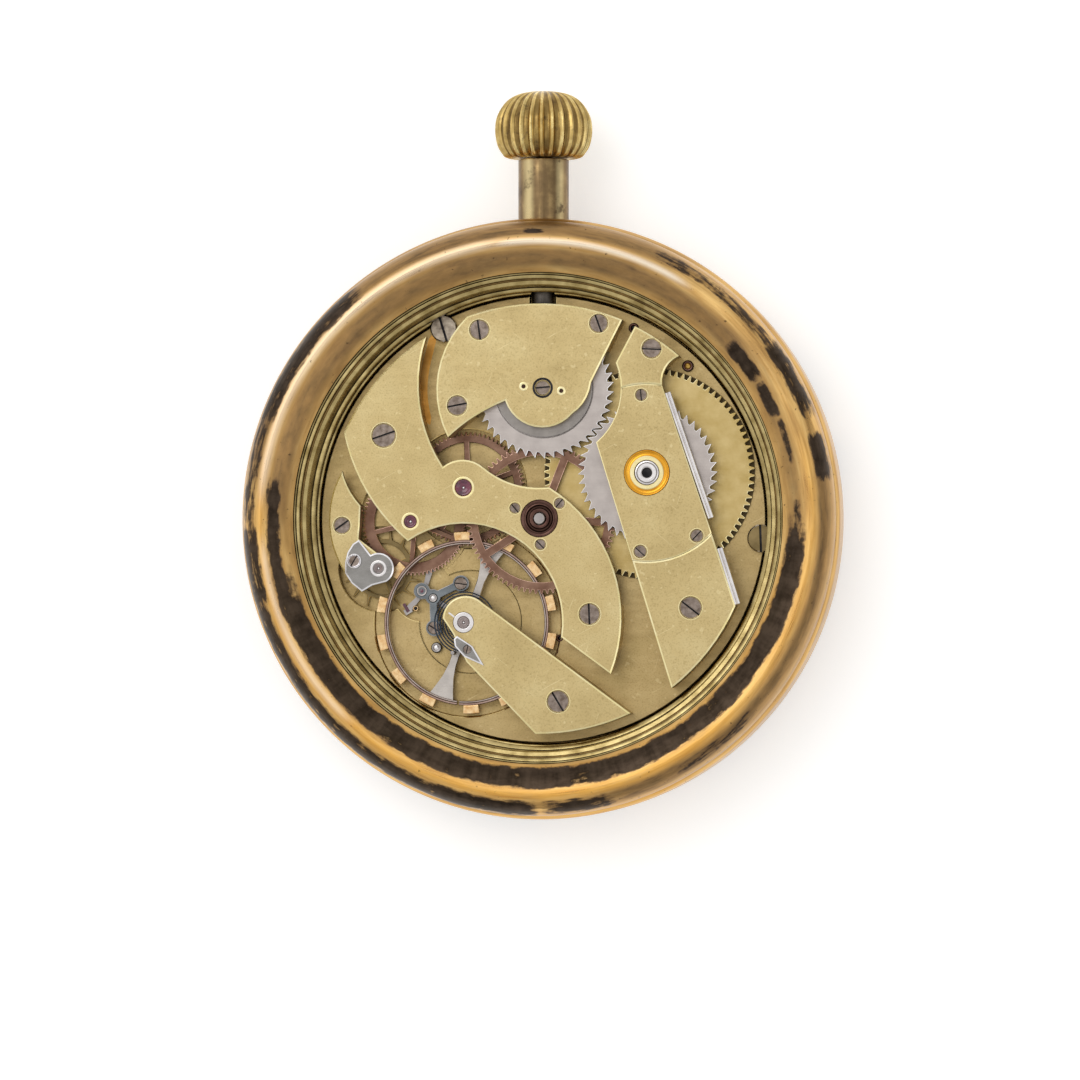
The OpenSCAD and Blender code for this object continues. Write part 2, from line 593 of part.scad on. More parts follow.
hour_pipe_r = 1.15;
cannon_pipe_r = 0.85;
foot_places = [for (a = [100, 215, 330]) polar(plate_r - works_rim / 2, a)];
module dial() color("#f3f0e6") {
    difference() {
        disc(centre_at, dial_r, dial_z, plate_z);
        disc(fourth_at, seconds_r, dial_z - cut, dial_z + 0.12);
        disc(centre_at, hour_pipe_r + 0.2, dial_z - cut, plate_z + cut);
        disc(fourth_at, 0.4, dial_z - cut, plate_z + cut);
    }
    for (p = foot_places) disc(p, 0.4, plate_z, plate_z + 2);
}
hour_z = dial_z - 0.85;
minute_z = hour_z - hand_t - 0.3;
second_z = dial_z - 0.32;
function hand_outline(len, wide, tail) = [[-tail, -0.3], [len * 0.55, -0.18], [len * 0.68, -wide / 2],
    [len * 0.8, -0.15], [len, -0.04], [len, 0.04], [len * 0.8, 0.15], [len * 0.68, wide / 2],
    [len * 0.55, 0.18], [-tail, 0.3]];
module hand(len, wide, tail, hub, bore, z) difference() {
    union() {
        translate([0, 0, z]) linear_extrude(hand_t) polygon(hand_outline(len, wide, tail));
        disc(centre_at, hub, z, z + hand_t);
    }
    disc(centre_at, bore, z - cut, z + hand_t + cut);
}
module hour_hand() color("#26324f") rotate(-60) hand(hour_len, 2.2, 0.5, 1.9, hour_pipe_r, hour_z);
module minute_hand() color("#26324f") rotate(52) hand(minute_len, 1.7, 0.5, 1.6, cannon_pipe_r, minute_z);
module second_hand() color("#26324f") at(fourth_at) rotate(-30)
    hand(second_len, 0.3, 1.6, 0.55, 0.25, second_z);

// Motion works, under the dial

hour_wheel_z = plate_z + 0.12;
hour_wheel_t = 0.4;
minute_wheel_z = hour_wheel_z + hour_wheel_t + level_gap;
module cannon_pinion() color("#8e8a86") difference() {
    union() {
        disc(centre_at, cannon_pipe_r, minute_z, minute_wheel_z + 0.5);
        pinion(cannon_pitch, cannon_leaves, 97.2 + 180 / cannon_leaves, minute_wheel_z - 0.05,
            minute_wheel_z + 0.5);
    }
    disc(centre_at, centre_pivot_r + seat_gap, minute_z - cut, minute_wheel_z + 1);
}
module hour_wheel() color("#c9a85c") difference() {
    union() {
        translate([0, 0, hour_wheel_z]) linear_extrude(hour_wheel_t)
            polygon(wheel_points(hour_pitch, hour_teeth, 97.2 + 180 / hour_teeth));
        disc(centre_at, hour_pipe_r, hour_z, hour_wheel_z + 0.1);
    }
    disc(centre_at, cannon_pipe_r + run_gap, hour_z - cut, hour_wheel_z + 1);
}
minute_post_r = 0.4;
module minute_wheel() color("#c9a85c") at(minute_at) difference() {
    union() {
        pinion(minute_pinion_pitch, minute_leaves, 277.2, hour_wheel_z, minute_wheel_z + 0.05);
        translate([0, 0, minute_wheel_z]) linear_extrude(0.4)
            polygon(wheel_points(minute_pitch, minute_teeth, 277.2));
    }
    disc(centre_at, minute_post_r + run_gap, plate_z - cut, web_z + cut);
}
setting_aim = aim(minute_at, setting_at);
setting_z = minute_wheel_z;
module setting_wheel() color("#8e8a86") at(setting_at) difference() {
    // the minute wheel keeps the phase of its own first tooth, and this wheel takes the gap there
    phase = 277.2 - setting_aim;
    turned = (phase / 360 * minute_teeth - floor(phase / 360 * minute_teeth)) * 360 / setting_teeth;
    translate([0, 0, setting_z]) linear_extrude(1.0)
        polygon(wheel_points(setting_pitch, setting_teeth, setting_aim + 180 - turned + 180 / setting_teeth));
    disc(centre_at, minute_post_r + run_gap, plate_z - cut, web_z + 3);
}

// Main plate

step_at = grow * [-7.1, -9.9];
step_r = grow * 4.95;
step_z = well_z - 0.25;
fork_room = grow * 2.95;
third_well_r = third_tip + recess_gap;
fourth_well_r = fourth_tip + recess_gap;
slot_w = 2 * (winding_r + 0.45);
slot_y0 = grow * 12.0;
slot_y1 = grow * 18.15;
module main_plate() color("#a9935c") {
    difference() {
        disc(centre_at, plate_r, plate_z, top_z);
        disc(centre_at, works_r, plate_z - cut, web_z);
        disc(barrel_at, barrel_well_r, drum_floor, top_z + cut);
        disc(barrel_at, 0.9 + run_gap, web_z - cut, top_z);
        disc(balance_at, well_r, well_z, top_z + cut);
        disc(step_at, step_r, step_z, top_z + cut);
        disc(third_at, third_well_r, train_floor, top_z + cut);
        disc(fourth_at, fourth_well_r, fourth_z - 0.15, top_z + cut);
        disc(fourth_at, 1.2, train_floor, top_z + cut);
        disc(escape_at, escape_well_r, train_floor, top_z + cut);
        disc(pallet_at, fork_room, train_floor, top_z + cut);
        bar(pallet_at, balance_at, 2.6, train_floor, top_z + cut);
        disc(balance_at, roller_r + 0.35, train_floor, top_z + cut);
        disc(centre_at, centre_arbor_r + run_gap, web_z - cut, top_z + cut);
        for (p = [third_at, escape_at, pallet_at, balance_at])
            disc(p, pivot_r + run_gap, web_z + 0.2, train_floor + cut);
        disc(fourth_at, 0.25 + run_gap, web_z - cut, top_z);
        translate([-slot_w / 2, slot_y0, web_z - cut]) cube([slot_w, slot_y1 - slot_y0, 5]);
        translate([-stem_r - 0.15, slot_y1 - 1, web_z - cut]) cube([2 * stem_r + 0.3, 3.0, stem_z - web_z]);
        translate([-1, setting_post[1] - 2, plate_z - cut]) cube([6.2, 3.7, works_depth + cut]);
        along_y(0.4 + run_gap, square_y0 - 2.25, slot_y0 + cut);
        along_y(stem_r + 0.08, slot_y1 - cut, plate_r + cut);
        along_y(collar_r + 0.12, collar_y - 0.12, plate_r + cut);
        disc(setting_at, setting_pitch + 0.6, web_z - cut, setting_z + 1.15);
        for (p = foot_places) disc(p, 0.4 + seat_gap, plate_z - cut, plate_z + 2.1);
        case_shank_holes();
        bridge_holes();
        small_holes([6, 8, 9]);
    }
    for (p = [minute_at, setting_at, setting_post, clutch_post])
        disc(p, minute_post_r, plate_z + 0.12, p == setting_at ? setting_z + 1.15 : web_z);
}

// Bridges and cocks

module barrel_bridge() color("#c8b578") difference() {
    union() {
        slab(barrel_outline, wind_bridge_z, wind_top);
        difference() {
            slab(barrel_outline, top_z, wind_bridge_z);
            disc(barrel_at, great_tip + foot_rings, top_z - cut, wind_bridge_z + cut);
            disc(centre_at, centre_tip + foot_rings, top_z - cut, wind_bridge_z + cut);
        }
        disc(click_at, 0.5, wind_z + 0.05, wind_bridge_z + 0.1);
    }
    disc(barrel_at, inset_r, wind_top - arbor_plate_t, wind_top + cut);
    disc(barrel_at, chaton_r - 0.4, wind_bridge_z - cut, wind_top);
    bridge_holes();
    small_holes([0, 1, 2]);
}
inset_r = grow * 8.55;
module arbor_plate() color("#cdbb80") difference() {
    intersection() {
        slab(barrel_outline, wind_top - arbor_plate_t, wind_top);
        disc(barrel_at, inset_r - seat_gap, wind_bridge_z, wind_top + 1);
    }
    disc(barrel_at, chaton_r + seat_gap, wind_bridge_z, wind_top + 1);
    small_holes([0, 1, 2]);
}
module crown_wheel_bridge() color("#c8b578") difference() {
    union() {
        slab(wind_outline, wind_bridge_z, wind_top);
        difference() {
            slab(wind_outline, top_z, wind_bridge_z);
            disc(crown_wheel_at, wind_tip + foot_rings, top_z - cut, wind_bridge_z + cut);
        }
    }
    disc(case_fixings[0][0], case_fixings[0][1] + 0.15, top_z - cut, case_screw_top + 0.2);
    along_y(collar_r + 0.12, bridge_r - 1.2, plate_r + 1);
    along_y(stem_r + 0.08, bridge_r - 2, plate_r + 1);
    bridge_holes();
    small_holes([10]);
    for (p = [[-1.85, 0.15], [1.8, -0.3]]) disc(crown_wheel_at + p, 0.3, wind_top - 0.5, wind_top + cut);
}
bush_r = 1.8;
jewel_r = 0.8;
small_jewel_r = 0.6;
module train_bridge() color("#c8b578") difference() {
    union() {
        slab(train_outline, train_bridge_z, train_top);
        intersection() {
            slab(train_outline, top_z, train_bridge_z);
            union() {
                disc(grow * [-15.1, 9.6], grow * 4.4, top_z - cut, train_bridge_z + cut);
                disc(grow * [5.2, -10.2], grow * 3.2, top_z - cut, train_bridge_z + cut);
            }
        }
    }
    disc(centre_at, bush_r + seat_gap, train_bridge_z - cut, train_top + cut);
    disc(third_at, jewel_r + seat_gap, train_bridge_z - cut, train_top + cut);
    disc(fourth_at, small_jewel_r + seat_gap, train_bridge_z - cut, train_top + cut);
    bridge_holes();
    small_holes([3, 4, 5]);
}
module escape_cock() color("#b8a468") difference() {
    union() {
        slab(escape_cock_outline, escape_cock_z, cap_z);
        intersection() {
            slab(escape_cock_outline, top_z, escape_cock_z);
            disc(grow * [-19.5, 0], grow * 2.9, top_z - cut, escape_cock_z + cut);
        }
    }
    disc(escape_at, 0.45 + seat_gap, escape_cock_z - cut, cap_z + cut);
    small_holes([6, 7]);
}
module escape_cap() color("#b5b2ae") difference() {
    slab(cap_outline, cap_z, cap_z + cap_t);
    disc(escape_at, 0.45 + seat_gap, cap_z - cut, cap_z + cap_t + cut);
    small_holes([7]);
}
pallet_pin = grow * [-10.65, -7.5];
module pallet_bridge() color("#3c3a3c") difference() {
    z1 = pallet_bridge_z + pallet_bridge_t;
    foot_a = small_fixings[8][0];
    foot_b = small_fixings[9][0];
    union() {
        disc(pallet_at, 0.8, pallet_bridge_z, z1);
        disc(pallet_pin, 0.75, pallet_bridge_z, z1);
        bar(pallet_at, pallet_pin, 1.1, pallet_bridge_z, z1);
        bar(pallet_pin, foot_a, 0.75, pallet_bridge_z, z1);
        bar(pallet_pin, foot_b, 0.75, pallet_bridge_z, z1);
        for (p = [foot_a, foot_b]) disc(p, 0.8, step_z, z1);
    }
    disc(pallet_at, pivot_r + run_gap, train_floor, z1 + cut);
    small_holes([8, 9]);
}
module balance_cock() color("#c8b578") difference() {
    union() {
        slab(cock_outline, cock_z, cock_top);
        difference() {
            slab(cock_outline, top_z, cock_z);
            disc(balance_at, well_r + 0.1, top_z - cut, cock_z + cut);
        }
    }
    disc(balance_at, 1.0 + seat_gap, cock_z - cut, cock_top + cut);
    bridge_holes();
    small_holes([11]);
}

// Screws

module bridge_screws() color("#8b8580") for (s = bridge_fixings)
    screw(s[0], s[1], s[2] - head_drop, s[3], bridge_screw_bottom);
module small_screws() color("#8b8580") for (s = small_fixings)
    screw(s[0], s[1], s[2] - head_drop, s[3], s[4]);

// Winding works

crown_saw = aim(crown_wheel_at, barrel_at);
contrate_z = stem_z + winding_r - 0.1;
contrate_in = grow * 4.5;
contrate_out = grow * 5.25;
contrate_first = 90 + asin(crown_wheel_at[0] * 2 / (contrate_in + contrate_out));
hub_r = grow * 2.15;
module crown_wheel() color("#a7a3a0") difference() {
    union() {
        at(crown_wheel_at, wind_z) linear_extrude(wind_t)
            polygon(saw_points(wind_teeth, wind_pitch - saw_h / 2, wind_tip, crown_saw));
        intersection() {
            ring(crown_wheel_at, contrate_out, contrate_in, contrate_z, wind_z + 0.1);
            union() {
                disc(crown_wheel_at, contrate_out + 1, contrate_z + 0.4, wind_z + 1);
                for (i = [0:contrate_teeth - 1]) at(crown_wheel_at, contrate_z)
                    rotate(contrate_first + (i + 0.5) * 360 / contrate_teeth) translate([0, -0.14, 0])
                    cube([contrate_out + 1, 0.28, 1]);
            }
        }
    }
    disc(crown_wheel_at, hub_r + run_gap, contrate_z - cut, wind_z + 1);
    disc(crown_wheel_at, seat_r + 0.1, wind_z + wind_t / 2, wind_z + wind_t + cut);
}
module crown_wheel_seat() color("#6f6a68") difference() {
    union() {
        disc(crown_wheel_at, hub_r, wind_z + 0.05, wind_bridge_z);
        disc(crown_wheel_at, seat_r, wind_z + wind_t / 2 + 0.06, wind_bridge_z);
    }
    small_holes([10]);
}
arbor_square = 1.8;
saw_phase = 0.5; // the saw teeth of the ratchet wheel stand half a pitch off those of the crown wheel
module ratchet_wheel() color("#a7a3a0") difference() {
    at(barrel_at, wind_z) linear_extrude(wind_t)
        polygon(saw_points(wind_teeth, wind_pitch - saw_h / 2 - 0.05, wind_tip - 0.05,
            crown_saw + 180 - saw_phase * 360 / wind_teeth));
    at(barrel_at, wind_z + wind_t / 2) cube([arbor_square + 0.06, arbor_square + 0.06, 3], center = true);
}
winding_y0 = grow * 16.75;
winding_y1 = grow * 18.0;
module stem_square_hole(y0, y1) translate([-stem_square / 2 - 0.04, y0, stem_z - stem_square / 2 - 0.04])
    cube([stem_square + 0.08, y1 - y0, stem_square + 0.08]);
module winding_pinion() color("#8e8a86") difference() {
    translate([0, winding_y0, stem_z]) rotate([-90, 0, 0]) linear_extrude(winding_y1 - winding_y0)
        polygon(teeth_points(winding_leaves, winding_r - 0.4, winding_r + 0.15, 0.36, 0.28, -90));
    stem_square_hole(winding_y0 - 1, winding_y1 + 1);
}
clutch_y0 = grow * 13.0;
clutch_y1 = winding_y0 - 0.12;
clutch_r = 1.65;
module clutch_pinion() color("#8e8a86") difference() {
    along_y(clutch_r, clutch_y0, clutch_y1);
    difference() {
        along_y(clutch_r + 1, clutch_post[1] - 0.55, clutch_post[1] + 0.55);
        along_y(1.1, clutch_y0 - 1, clutch_y1 + 1);
    }
    stem_square_hole(clutch_y0 - 1, clutch_y1 + 1);
}
lever_z = plate_z + 0.3;
lever_t = 0.55;
module lever(post, pin_x, tail, pin_top) difference() {
    pin = [pin_x, post[1]];
    union() {
        bar(post, pin, 1.0, lever_z, lever_z + lever_t);
        bar(post, post + tail, 1.0, lever_z, lever_z + lever_t);
        disc(post, 0.9, lever_z, lever_z + lever_t);
        disc(post + tail, 0.55, lever_z, lever_z + lever_t);
        disc(pin, 0.55, lever_z, lever_z + lever_t);
        disc(pin, 0.24, lever_z, pin_top);
    }
    disc(post, minute_post_r + run_gap, plate_z, web_z);
}
module setting_lever() color("#8e8a86") lever(setting_post, 0, [1.4, -2.2], stem_z - 0.52);
module clutch_lever() color("#8e8a86") lever(clutch_post, 0, [-1.6, -2.6], stem_z - 1.2);
module lever_spring() color("#8e8a86") {
    spring = concat(bow([7.7, 12.6], [6.0, 16.9], 0.5), bow([5.65, 16.85], [7.1, 12.4], -0.5));
    slab(grow * spring, lever_z, lever_z + lever_t);
    disc(grow * [7.4, 12.0], 1.0, lever_z, web_z);
}
click_nose = barrel_at + polar(wind_tip + 0.12, -84);
module click() color("#a7a3a0") difference() {
    union() {
        slab([click_nose, click_at + polar(0.8, aim(click_nose, click_at) + 115),
            click_at + polar(0.8, aim(click_nose, click_at) - 115)], wind_z + 0.05, wind_z + wind_t);
        disc(click_at, 0.9, wind_z + 0.05, wind_z + wind_t);
    }
    disc(click_at, 0.5 + run_gap, wind_z - cut, wind_bridge_z);
}
module click_spring() color("#c3c1be") {
    side = polar(1, 18);
    low = grow * on_rim([18.8, -8.4]);
    mid = grow * [16.2, -0.2];
    high = grow * [11.85, 12.75];
    near = [0.93 * low + 0.07 * mid, mid, 0.04 * mid + 0.96 * high];
    slab(concat([for (p = near) p + 0.06 * side], [for (i = [2:-1:0]) near[i] + 0.65 * side]),
        wind_bridge_z + 0.1, wind_top - 0.1);
}

// Barrel

cover_t = 0.45;
roof_z = great_top - 0.4;
module barrel_drum() color("#c9a85c") difference() {
    union() {
        disc(barrel_at, drum_r, drum_z, great_top);
        disc(barrel_at, 2.6, great_z, great_top + barrel_boss_h);
        at(barrel_at, great_z) linear_extrude(barrel_tooth_t)
            polygon(wheel_points(great_pitch, barrel_teeth, barrel_aim));
    }
    disc(barrel_at, drum_r - drum_wall, drum_z + 0.3, roof_z);
    disc(barrel_at, drum_r - drum_wall + 0.3, drum_z - cut, drum_z + cover_t + 0.05);
    disc(barrel_at, barrel_arbor_r + run_gap, drum_z, great_top + 1);
}
module barrel_cover() color("#c9a85c") difference() {
    disc(barrel_at, drum_r - drum_wall + 0.27, drum_z + 0.05, drum_z + 0.05 + cover_t);
    disc(barrel_at, barrel_arbor_r + run_gap, drum_z - cut, drum_z + 1);
}
hook_r = 1.6;
module barrel_arbor() color("#9c9894") difference() {
    union() {
        disc(barrel_at, 0.9, web_z, drum_z + 0.05);
        disc(barrel_at, barrel_arbor_r, drum_z + 0.02, wind_z);
        disc(barrel_at, hook_r, drum_z + cover_t + 0.15, roof_z - 0.1);
        at(barrel_at, wind_z - 0.05) translate([-arbor_square / 2, -arbor_square / 2, 0])
            cube([arbor_square, arbor_square, wind_t + level_gap]);
        disc(barrel_at, barrel_arbor_r, wind_z + wind_t + 0.02, wind_top - 0.1);
    }
    disc(barrel_at, 0.5, wind_top - 0.8, wind_top + cut);
}
// A flat spiral strip about the origin, from inner radius to outer radius
function spiral(r0, r1, turns, a0, steps, side) = [for (i = [0:turns * steps]) let (t = i / (turns * steps))
    polar(r0 + (r1 - r0) * t + side, a0 + 360 * turns * t)];
function strip(r0, r1, turns, a0, steps, t) = let (out = spiral(r0, r1, turns, a0, steps, t / 2),
    in = spiral(r0, r1, turns, a0, steps, -t / 2)) concat(out, [for (i = [len(in) - 1:-1:0]) in[i]]);
module mainspring() color("#5f6d86") at(barrel_at, drum_z + cover_t + 0.25)
    linear_extrude(roof_z - drum_z - cover_t - 0.35) polygon(strip(hook_r + 0.3 + mainspring_t, drum_r - drum_wall
        - mainspring_t, mainspring_turns, 0, 24, mainspring_t));

// Train

module centre_wheel() color("#8f6048") crossed_wheel(centre_pitch, centre_teeth, third_aim, centre_z,
    0.8 + seat_gap, centre_pitch - 0.9, 1.7, 5, 0.75, 68.6);
module centre_arbor() color("#9c9894") {
    disc(centre_at, centre_pivot_r, minute_z, web_z + 0.1);
    disc(centre_at, centre_arbor_r, web_z + 0.05, great_z - 0.1);
    disc(centre_at, 0.8, great_z - 0.2, centre_z + wheel_t + 0.1);
    pinion(centre_pinion_pitch, centre_leaves, barrel_aim + 180 / centre_leaves, great_z - 0.1,
        great_z + barrel_tooth_t + 0.1);
    disc(centre_at, centre_pivot_r, centre_z, train_top + 0.15);
}
module third_wheel() color("#8f6048") at(third_at) crossed_wheel(third_pitch, third_teeth, fourth_aim,
    third_z, 0.4 + seat_gap, third_pitch - 0.85, 1.2, 5, 0.5, 20);
module third_pinion() color("#9c9894") at(third_at) {
    disc(centre_at, pivot_r, web_z + 0.35, train_floor + 0.1);
    disc(centre_at, 0.4, train_floor + 0.05, centre_z + 0.3);
    pinion(third_pinion_pitch, third_leaves, third_aim + 180 + 180 / third_leaves, centre_z - 0.15,
        centre_z + wheel_t + 0.12);
    disc(centre_at, pivot_r, centre_z, train_bridge_z + 0.9);
}
module fourth_wheel() color("#8f6048") at(fourth_at) crossed_wheel(fourth_pitch, fourth_teeth, escape_aim,
    fourth_z, 0.4 + seat_gap, fourth_pitch - 1.1, 1.1, 5, 0.45, 50);
module fourth_pinion() color("#9c9894") at(fourth_at) {
    disc(centre_at, 0.25, second_z, train_floor + 0.1);
    disc(centre_at, 0.4, train_floor + 0.05, train_bridge_z - 0.08);
    pinion(fourth_pinion_pitch, fourth_leaves, fourth_aim + 180 + 180 / fourth_leaves, third_z - 0.1,
        third_z + wheel_t + 0.1);
    disc(centre_at, pivot_r, train_bridge_z - 0.2, train_bridge_z + 0.9);
}

// Escapement

escape_z = third_z;
// rest angle of the escape wheel, which leaves both stones clear of its teeth
escape_first = -28.6 + 12;
module escape_wheel() color("#cbb27a") at(escape_at) difference() {
    root = escape_r - 0.95;
    translate([0, 0, escape_z]) linear_extrude(wheel_t) polygon([for (i = [0:escape_teeth - 1], k = [0:3])
        polar(k == 1 || k == 2 ? escape_r : root,
            escape_first + i * 360 / escape_teeth + [-8, -1, 0.6, -1.5][k])]);
    difference() {
        disc(centre_at, root - 0.45, escape_z - cut, escape_z + 1);
        disc(centre_at, 0.75, escape_z - 2 * cut, escape_z + 2);
        for (a = [0:90:270]) bar(centre_at, polar(root, a + 20), 0.4, escape_z - 1, escape_z + 2);
    }
    disc(centre_at, 0.3 + seat_gap, escape_z - cut, escape_z + 1);
}
module escape_pinion() color("#9c9894") at(escape_at) {
    disc(centre_at, pivot_r, web_z + 0.35, train_floor + 0.1);
    disc(centre_at, 0.3, train_floor + 0.05, escape_cock_z - 0.1);
    pinion(escape_pinion_pitch, escape_leaves, escape_aim + 180 + 180 / escape_leaves, fourth_z - 0.1,
        fourth_z + wheel_t + 0.12);
    disc(centre_at, pivot_r, escape_cock_z - 0.2, cap_z - 0.1);
}
stone_angle = 30; // half the angle between the stones, seen from the escape arbor
stone_out = escape_r + 0.06;
fork_aim = aim(pallet_at, balance_at);
horn_reach = norm(balance_at - pallet_at) - impulse_r - 0.12 - 0.06;
stone_aims = [for (s = [-1, 1]) -28.6 + s * stone_angle];
stone_w = 0.3;
module pallet_fork() color("#8e8a86") difference() {
    union() {
        bar(pallet_at, pallet_at + polar(horn_reach, fork_aim), 0.5, escape_z, escape_z + wheel_t);
        disc(pallet_at, 0.7, escape_z, escape_z + wheel_t);
        disc(pallet_at, 0.3, train_floor + 0.05, pallet_bridge_z - 0.05);
        disc(pallet_at, pivot_r, web_z + 0.35, pallet_bridge_z + pallet_bridge_t);
        for (a = stone_aims) bar(pallet_at, escape_at + polar(stone_out + 0.75, a), 0.6, escape_z,
            escape_z + wheel_t);
        for (a = stone_aims) bar(escape_at + polar(stone_out + 0.55, a), escape_at
            + polar(stone_out + 1.1, a), 0.75, escape_z, escape_z + wheel_t);
    }
    disc(pallet_at + polar(horn_reach + 0.35, fork_aim), 0.42, escape_z - cut, escape_z + 1);
    for (a = stone_aims) stone(a, stone_w + 0.04, 0.02, escape_z - cut, escape_z + 1);
    disc(escape_at, stone_out + 0.3, escape_z - cut, escape_z + 1);
}
module stone(a, w, extra, z0, z1) bar(escape_at + polar(stone_out, a),
    escape_at + polar(stone_out + 0.9 + extra, a), w, z0, z1);
module pallet_stones() color("#7a2f4d") for (a = stone_aims)
    stone(a, stone_w, 0, escape_z + 0.02, escape_z + wheel_t);

// Balance

arm_aim = 71;
arm_z = rim_z + 0.1;
arm_t = 0.45;
module balance_wheel() color("#b89a5e") at(balance_at) difference() {
    union() {
        ring(centre_at, balance_r, balance_r - rim_w, rim_z, rim_z + rim_h);
        rotate(arm_aim) for (s = [0, 180]) rotate(s) slab([[0, -0.4], [5.2, -0.35],
            [balance_r - rim_w / 2, -0.95], [balance_r - rim_w / 2, 0.95], [5.2, 0.35], [0, 0.4]],
            arm_z, arm_z + arm_t);
        disc(centre_at, 1.0, arm_z, arm_z + arm_t);
    }
    disc(centre_at, 0.45 + seat_gap, arm_z - cut, arm_z + arm_t + cut);
    for (s = [0, 180]) rotate(arm_aim + 13 + s) translate([balance_r - 1, -0.12, rim_z - cut])
        cube([2, 0.24, rim_h + 1]);
}
screw_aims = [for (s = [0, 180], i = [0:balance_screw_count / 2 - 1])
    arm_aim + s + 22 + i * 150 / (balance_screw_count / 2 - 1)];
module balance_screws() color("#e0b45a") for (a = screw_aims)
    at(balance_at + polar(balance_r, a), rim_z + rim_h / 2) rotate([0, 90, a])
    cylinder(r = balance_screw_r, h = balance_screw_len);
staff_r = 0.45;
roller_z = escape_z + wheel_t + 0.12;
module balance_staff() color("#9c9894") at(balance_at) {
    disc(centre_at, pivot_r, web_z + 0.35, train_floor + 0.1);
    disc(centre_at, staff_r, train_floor + 0.05, cock_z - 0.06);
    disc(centre_at, 0.62, arm_z + arm_t, arm_z + arm_t + 0.15);
    disc(centre_at, pivot_r, cock_z - 0.1, cock_z + 0.75);
}
impulse_at = balance_at + polar(impulse_r, fork_aim + 180);
module impulse_roller() color("#9c9894") difference() {
    union() {
        disc(balance_at, roller_r, roller_z, roller_z + 0.22);
        disc(impulse_at, 0.12, escape_z + 0.03, roller_z + 0.1);
    }
    disc(balance_at, staff_r + seat_gap, roller_z - cut, roller_z + 1);
}
spring_in = 0.75;
spring_out = hairspring_r - hairspring_t / 2;
spring_pitch = (spring_out - spring_in) / hairspring_turns;
spring_aim = -110;
inner_line = spiral(spring_in, spring_out, hairspring_turns, 0, 24, hairspring_t / 2);
outer_line = spiral(spring_in, spring_out, hairspring_turns, 0, 24, -hairspring_t / 2);
spring_gap = min([for (i = [0:len(inner_line) - 1]) for (j = [i + 18:1:min(i + 30, len(outer_line) - 1)])
    norm(inner_line[i] - outer_line[j])]);
echo(hairspring_least_gap_mm = spring_gap);
module hairspring() color("#27344f") {
    at(balance_at, hairspring_z) linear_extrude(0.3)
        polygon(strip(spring_in, spring_out, hairspring_turns, spring_aim - 360 * hairspring_turns, 24,
            hairspring_t));
    ring(balance_at, spring_in, staff_r + seat_gap, hairspring_z, hairspring_z + 0.3);
}
module stud_plate() color("#b5b2ae") difference() {
    slab(grow * [[-8.2, -11.6], [-7.9, -11.3], [-6.4, -12.3], [-5.3, -14.15], [-7.2, -13.3], [-8.1, -12.3]],
        cock_top, cock_top + stud_plate_t);
    small_holes([11]);
}

// Jewels and bushes

module jewel(p, r, z0, z1) ring(p, r, pivot_r + run_gap, z0, z1);
module train_jewels() color("#7a2f4d") {
    jewel(third_at, jewel_r, train_bridge_z + 0.05, train_top - 0.35);
    jewel(fourth_at, small_jewel_r, train_bridge_z + 0.05, train_top - 0.35);
    jewel(escape_at, 0.45, escape_cock_z + 0.05, cap_z - 0.05);
    jewel(balance_at, 1.0, cock_z + 0.05, cock_z + 0.8);
}
module cap_jewels() color("#8a3a5a") {
    disc(escape_at, 0.45, cap_z, cap_z + cap_t - 0.05);
    disc(balance_at, 1.0, cock_z + 0.85, cock_top - 0.1);
}
module arbor_bushes() color("#d9a441") {
    ring(centre_at, bush_r, centre_pivot_r + run_gap, train_bridge_z + 0.03, train_top - 0.1);
    ring(barrel_at, chaton_r, barrel_arbor_r + run_gap, wind_top - arbor_plate_t, wind_top + 0.1);
    ring(barrel_at, chaton_r - 0.43, barrel_arbor_r + run_gap, wind_bridge_z + 0.02, wind_top);
}

case_band();
back_bezel();
front_bezel();
crystal();
pendant_tube();
crown();
winding_stem();
case_screws();
dial();
hour_hand();
minute_hand();
second_hand();
cannon_pinion();
hour_wheel();
minute_wheel();
setting_wheel();
main_plate();
barrel_bridge();
arbor_plate();
crown_wheel_bridge();
train_bridge();
escape_cock();
escape_cap();
pallet_bridge();
balance_cock();
bridge_screws();
small_screws();
crown_wheel();
crown_wheel_seat();
ratchet_wheel();
winding_pinion();
clutch_pinion();
setting_lever();
clutch_lever();
lever_spring();
click();
click_spring();
barrel_drum();
barrel_cover();
barrel_arbor();
mainspring();
centre_wheel();
centre_arbor();
third_wheel();
third_pinion();
fourth_wheel();
fourth_pinion();
escape_wheel();
escape_pinion();
pallet_fork();
pallet_stones();
balance_wheel();
balance_screws();
balance_staff();
impulse_roller();
hairspring();
stud_plate();
train_jewels();
cap_jewels();
arbor_bushes();
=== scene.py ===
import json
import math

import bmesh
import bpy
from mathutils import Matrix, Vector


